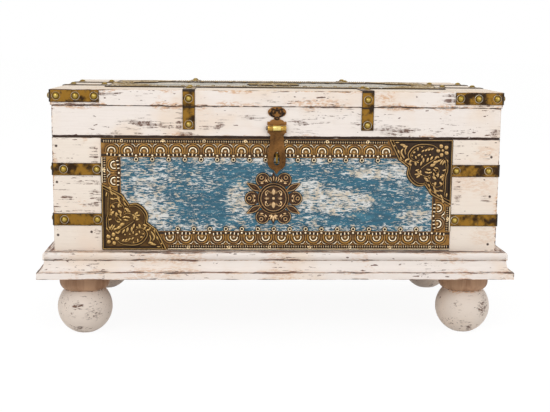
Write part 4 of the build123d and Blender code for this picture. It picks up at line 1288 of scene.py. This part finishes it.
def front_stampings():
    long_run = 2 * FRAME_X - PLATE_SHORT
    upright_run = FRAME_Z[1] - FRAME_Z[0] - BORDER_WIDTH - PLATE_LONG
    low, high = FRAME_Z
    runs = (
        # The top border's rim of 0.5 is kept low so that it paints the shade under the lid's overhang
        ("top", FRAME_X - PLATE_SHORT, high, -X, -Z, long_run, (SHORT_SLOPE, 0.0, 0.5)),
        ("bottom", PLATE_SHORT - FRAME_X, low, X, Z, long_run, (SHORT_SLOPE, 0.0)),
        ("left", -FRAME_X, high - BORDER_WIDTH, -Z, X, upright_run, (0.0, LONG_SLOPE)),
        ("right", FRAME_X, low + BORDER_WIDTH, Z, -X, upright_run, (0.0, LONG_SLOPE)),
    )
    for side, x, z, across, along, run, ends in runs:
        place = frame_matrix((x, FRONT_Y, z), across, along, -Y)
        lay(border_relief(run, *ends), f"front_border_{side}", [place], STAMPED)
    upper = frame_matrix((FRAME_X, FRONT_Y, high), -X, -Z, -Y)
    lay(corner_relief(), "corner_plate_upper_right", [upper], DARK_PLATE)
    lower = frame_matrix((-FRAME_X, FRONT_Y, low), X, Z, -Y)
    lay(corner_relief(0.42), "corner_plate_lower_left", [lower], PLATE)
    flower_low, flower_high = node_box("front_rosette")
    centre = (flower_low + flower_high) / 2
    flower = frame_matrix((centre.x, FRONT_Y, centre.z), X, Z, -Y)
    lay(rosette_relief(), "front_rosette", [flower], FLOWER)


def lid_stampings():
    half_turn = Matrix.Rotation(math.pi, 4, "Z")
    edge_x, edge_y = LID_FRAME
    runs = (
        ("front", "back", (PLATE_SHORT - edge_x, -edge_y, LID_TOP_Z), X, Y, 2 * edge_x),
        ("left", "right", (-edge_x, edge_y - PLATE_SHORT, LID_TOP_Z), -Y, X, 2 * edge_y),
    )
    for side, opposite, origin, across, along, side_length in runs:
        for name, turn in ((side, Matrix()), (opposite, half_turn)):
            relief = border_relief(side_length - PLATE_SHORT - PLATE_LONG, SHORT_SLOPE, LONG_SLOPE)
            place = turn @ frame_matrix(origin, across, along, Z)
            lay(relief, f"lid_border_{name}", [place], LID_FRAME_BRASS)
    corners = [
        frame_matrix((-edge_x, -edge_y, LID_TOP_Z), X, Y, Z),
        frame_matrix((edge_x, -edge_y, LID_TOP_Z), Y, -X, Z),
    ]
    corners += [half_turn @ corner for corner in corners]
    lay(corner_relief(), "lid_corner_plates", corners, LID_FRAME_BRASS)
    lay(rosette_relief(), "lid_rosette", [frame_matrix((0, 0, LID_TOP_Z), X, Y, Z)], LID_FRAME_BRASS)


STRAP_RIM = 1.8
STRAP_DENT = 0.25
DENT_PITCH = 16.0
STRAP_STEP = 11.0  # between the cuts that let a strap's faces dent
BROAD_FACE = 400.0  # area in square millimetres above which a face gets a rim
# RIM_TONE darkens a strap's edges: grime and painted shade along them
FLAT_TONE, RIM_TONE = 0.5, 0.12


def hammered_sheet(name):
    """A strap from its CAD shape: broad faces inset, a dark edge of grime and painted shade, and slight dents.
    """
    bm = from_frame(name)
    layer = bm.verts.layers.float.new("relief")
    for vert in bm.verts:
        vert[layer] = RIM_TONE
    broad = [face for face in bm.faces if face.calc_area() > BROAD_FACE]
    bmesh.ops.inset_individual(bm, faces=broad, thickness=STRAP_RIM, depth=0.0, use_even_offset=True)
    for face in broad:
        for vert in face.verts:
            vert[layer] = FLAT_TONE
    for axis in range(3):
        slice_along(bm, axis, STRAP_STEP)
    for vert in bm.verts:
        ripple = noise.noise(vert.co / DENT_PITCH)
        vert.co -= vert.normal * STRAP_DENT * max(0.0, ripple)
    return bm


def straps():
    nodes = [f"corner_strap_front_{side}_{level}" for side in SIDES for level in ("upper", "lower")]
    nodes += [f"corner_straps_rear_{side}" for side in SIDES]
    nodes += [f"lid_corner_bracket_front_{side}" for side in SIDES] + ["lid_corner_brackets_rear"]
    nodes += [f"lid_strap_front_{side}" for side in SIDES] + ["lid_straps_rear"]
    nodes += [f"lid_straps_side_{side}" for side in SIDES]
    for node in nodes:
        piece(hammered_sheet(node), node + "_brass", body_of(node), [STRAP], [node])


NAIL_RADIUS = 8.0
NAIL_HEIGHT = 5.0
DOME_RADIUS = 6.1
FLANGE_FROM = 6.3


def nail_head():
    """A domed nail on a thin pale flange; the dome pales towards its top as a painted highlight, and the
    flange's pale ring is partly worn paint and partly painted highlight.
    """
    profile = [(0, 0), (NAIL_RADIUS, 0), (NAIL_RADIUS, 0.7), (7.5, 1.1), (6.6, 1.0), (6.2, 0.5)]
    relief = [0.0, 0.6, 0.8, 0.8, 0.5, 0.0]
    dome_steps = 7
    for i in range(dome_steps + 1):
        turn = math.pi / 2 * i / dome_steps
        profile.append((DOME_RADIUS * math.cos(turn), 0.6 + (NAIL_HEIGHT - 0.6) * math.sin(turn)))
        # Paler towards the dome's top: painted highlight
        relief.append(0.22 + 0.60 * math.sin(turn))
    bm = turned(profile, 20, relief)
    for face in bm.faces:
        face.material_index = int(face.calc_center_median().xy.length >= FLANGE_FROM)
    return bm


def nails():
    for name, body in (("carcass_nails", "carcass"), ("lid_nails", "lid")):
        places = []
        for centre, size in islands(name):
            axis = min(range(3), key=lambda i: size[i])
            outwards = Vector()
            outwards[axis] = 1.0 if axis == 2 or centre[axis] > 0 else -1.0
            base = centre - outwards * size[axis] / 2
            places.append(Matrix.Translation(base) @ outwards.to_track_quat("Z", "Y").to_matrix().to_4x4())
        heads = scatter(nail_head(), places)
        piece(heads, name + "_domed", body, [NAIL, FLANGE], [name], crease=40.0)


FAN_FACE = (-3.0, -240.0, 433.65)  # middle of the fan's front face
HASP_PIN_Z = 404.0
KNUCKLE_REACH = 5.5
SHARP_ANGLE = 50  # degrees above which ironwork is bevelled
NARROW_FACE = 3.0  # area in square millimetres below which a face is rubbed bright, a painted highlight as well


def fan_relief():
    """Two curls and a fold embossed on the fan-shaped head above the hasp, and a boss on its neck."""
    s = Stamping()
    for side in (-1, 1):
        curl = spiral((side * 7.6, 0.8), 5.4, 1.6, 90 - side * 40, side * 400, 22)
        s.ridge(curl, 1.2, 1.3, level=0.0, taper=0.3)
        s.ridge([(side * 14.4, -0.5), (side * 9.5, -6.6), (side * 4.0, -8.2)], 0.8, 1.0, level=0.0)
    s.bead((0.0, 5.0), 1.8, 3.2, 1.3, level=0.0)
    s.bead((0.0, -11.6), 4.3, 2.8, 1.3, level=0.0)
    return s.bm


def fitted(name, body, material, offset=0.35, relief=(0.5, 0.9), knuckle=None, extra=None):
    """A piece of ironwork with its CAD shape's sharp edges bevelled and rubbed bright, the bright edges partly
    a painted highlight.
    """
    bm = from_frame(name)
    sharp = [e for e in bm.edges if len(e.link_faces) == 2 and math.degrees(e.calc_face_angle()) > SHARP_ANGLE]
    bevel(bm, sharp, offset, 2)
    layer = bm.verts.layers.float.new("relief")
    for vert in bm.verts:
        narrow = min(face.calc_area() for face in vert.link_faces) < NARROW_FACE
        vert[layer] = relief[1] if narrow else relief[0]
    # Faces round the hasp pin take a brighter brass: rubbed knuckles and a painted highlight on them
    for face in bm.faces if knuckle else ():
        if abs(face.calc_center_median().z - HASP_PIN_Z) < KNUCKLE_REACH:
            face.material_index = 1
    if extra:
        absorb(bm, scatter(extra, [frame_matrix(FAN_FACE, X, Z, -Y)]))
    piece(bm, name + "_finished", body, [material, knuckle] if knuckle else [material], [name])


def ironwork():
    """Hinges, stay, hasp and staple."""
    for name in ("hinge_leaves_carcass", "hinge_pins", "stay_stud_plate"):
        fitted(name, "carcass", IRON)
    for name in ("hinge_leaves_lid", "stay_pivot_plate", "hasp_pin"):
        fitted(name, "lid", IRON)
    fitted("hasp_plate", "lid", HASP, relief=(0.5, 1.0), knuckle=NAIL, extra=fan_relief())
    fitted("hasp_strap", "hasp", HASP, relief=(0.35, 0.85), knuckle=STRAP)
    fitted("stay_arm", "lid_stay", IRON)
    fitted("hasp_staple", "carcass", NAIL, offset=0.1)


def bare_parts():
    """Floor, cleats and corner blocks of unpainted wood."""
    for name, grain in (("floor_board", "x"), ("floor_cleats", "x"), ("corner_blocks", "z")):
        bm = from_frame(name)
        bevel(bm, bm.edges[:], 0.6, 1)
        piece(bm, name + "_sawn", "carcass", [bare_wood(f"sawn_{name}", grain)], [name])


# ---------------------------------------------------------------- camera, light and floor
CAMERA_PLACE = (-99.14, -2195.72, 563.48)
CAMERA_YAW = 0.0481
CAMERA_PITCH = 0.1558
CAMERA_ROLL = 0.0105
LENS = 68.3
SENSOR = 36.0


def camera():
    data = bpy.data.cameras.new("camera")
    data.lens = LENS
    data.sensor_width = SENSOR
    data.clip_start = 0.05
    data.clip_end = 100.0
    made = bpy.data.objects.new("camera", data)
    bpy.context.scene.collection.objects.link(made)
    sine, cosine = math.sin(CAMERA_YAW), math.cos(CAMERA_YAW)
    level = math.cos(CAMERA_PITCH)
    forward = Vector((sine * level, cosine * level, -math.sin(CAMERA_PITCH)))
    right = Vector((cosine, -sine, 0.0))
    upwards = right.cross(forward)
    tilted_right = right * math.cos(CAMERA_ROLL) + upwards * math.sin(CAMERA_ROLL)
    tilted_up = upwards * math.cos(CAMERA_ROLL) - right * math.sin(CAMERA_ROLL)
    made.matrix_world = frame_matrix(Vector(CAMERA_PLACE) * MM, tilted_right, tilted_up, -forward)
    bpy.context.scene.camera = made


def lamp(name, place, size, power, aim_z=0.25):
    data = bpy.data.lights.new(name, "AREA")
    data.shape = "RECTANGLE"
    data.size, data.size_y = size
    data.energy = power
    made = bpy.data.objects.new(name, data)
    bpy.context.scene.collection.objects.link(made)
    made.location = place
    made.rotation_euler = (Vector((0, 0, aim_z)) - Vector(place)).to_track_quat("-Z", "Y").to_euler()


def seen_directly(t):
    """1 for rays from the camera, off gloss or through glass."""
    path = t.tree.nodes.new("ShaderNodeLightPath").outputs
    return t.most(path["Is Camera Ray"], path["Is Glossy Ray"], path["Is Transmission Ray"])


AMBIENT = 0.62
WHITE = (1.0, 1.0, 1.0, 1.0)
FLOOR_GREY = (0.85, 0.85, 0.85, 1.0)
FLOOR_GLOW = 1.06
FLOOR_GLOW_SHARE = 0.88  # how far the floor is taken to white where it is looked at


def surroundings():
    """White backdrop, soft fill, and a pale plain floor."""
    world = bpy.data.worlds.new("studio")
    bpy.context.scene.world = world
    t = empty_tree(world)
    strength = t.scaled(seen_directly(t), 1.0 - AMBIENT, AMBIENT)
    background = t.node("Background", {"Color": WHITE, "Strength": strength})
    t.feed(t.tree.nodes.new("ShaderNodeOutputWorld").inputs[0], background)

    material = bpy.data.materials.new("studio_floor")
    t = empty_tree(material)
    matt = t.node("BsdfDiffuse", {"Color": FLOOR_GREY})
    glow = t.node("Emission", {"Color": WHITE, "Strength": FLOOR_GLOW})
    mixed = t.node("MixShader", {0: t.times(seen_directly(t), FLOOR_GLOW_SHARE), 1: matt, 2: glow})
    t.feed(t.tree.nodes.new("ShaderNodeOutputMaterial").inputs[0], mixed)
    bpy.ops.mesh.primitive_plane_add(size=60, location=(0, 0, -0.0005))
    floor = bpy.context.object
    floor.name = "studio_floor"
    floor.data.materials.append(material)

    lamp("key", (-1.5, -3.0, 2.3), (2.2, 1.6), 42)
    lamp("fill", (2.2, -2.8, 1.2), (2.0, 1.6), 18)
    lamp("back", (0.6, 2.6, 2.4), (2.4, 1.4), 12, aim_z=0.3)


bpy.context.scene.view_settings.view_transform = "Standard"
painted_boards()
plinth()
ball_feet()
front_stampings()
lid_stampings()
straps()
nails()
ironwork()
bare_parts()
camera()
surroundings()
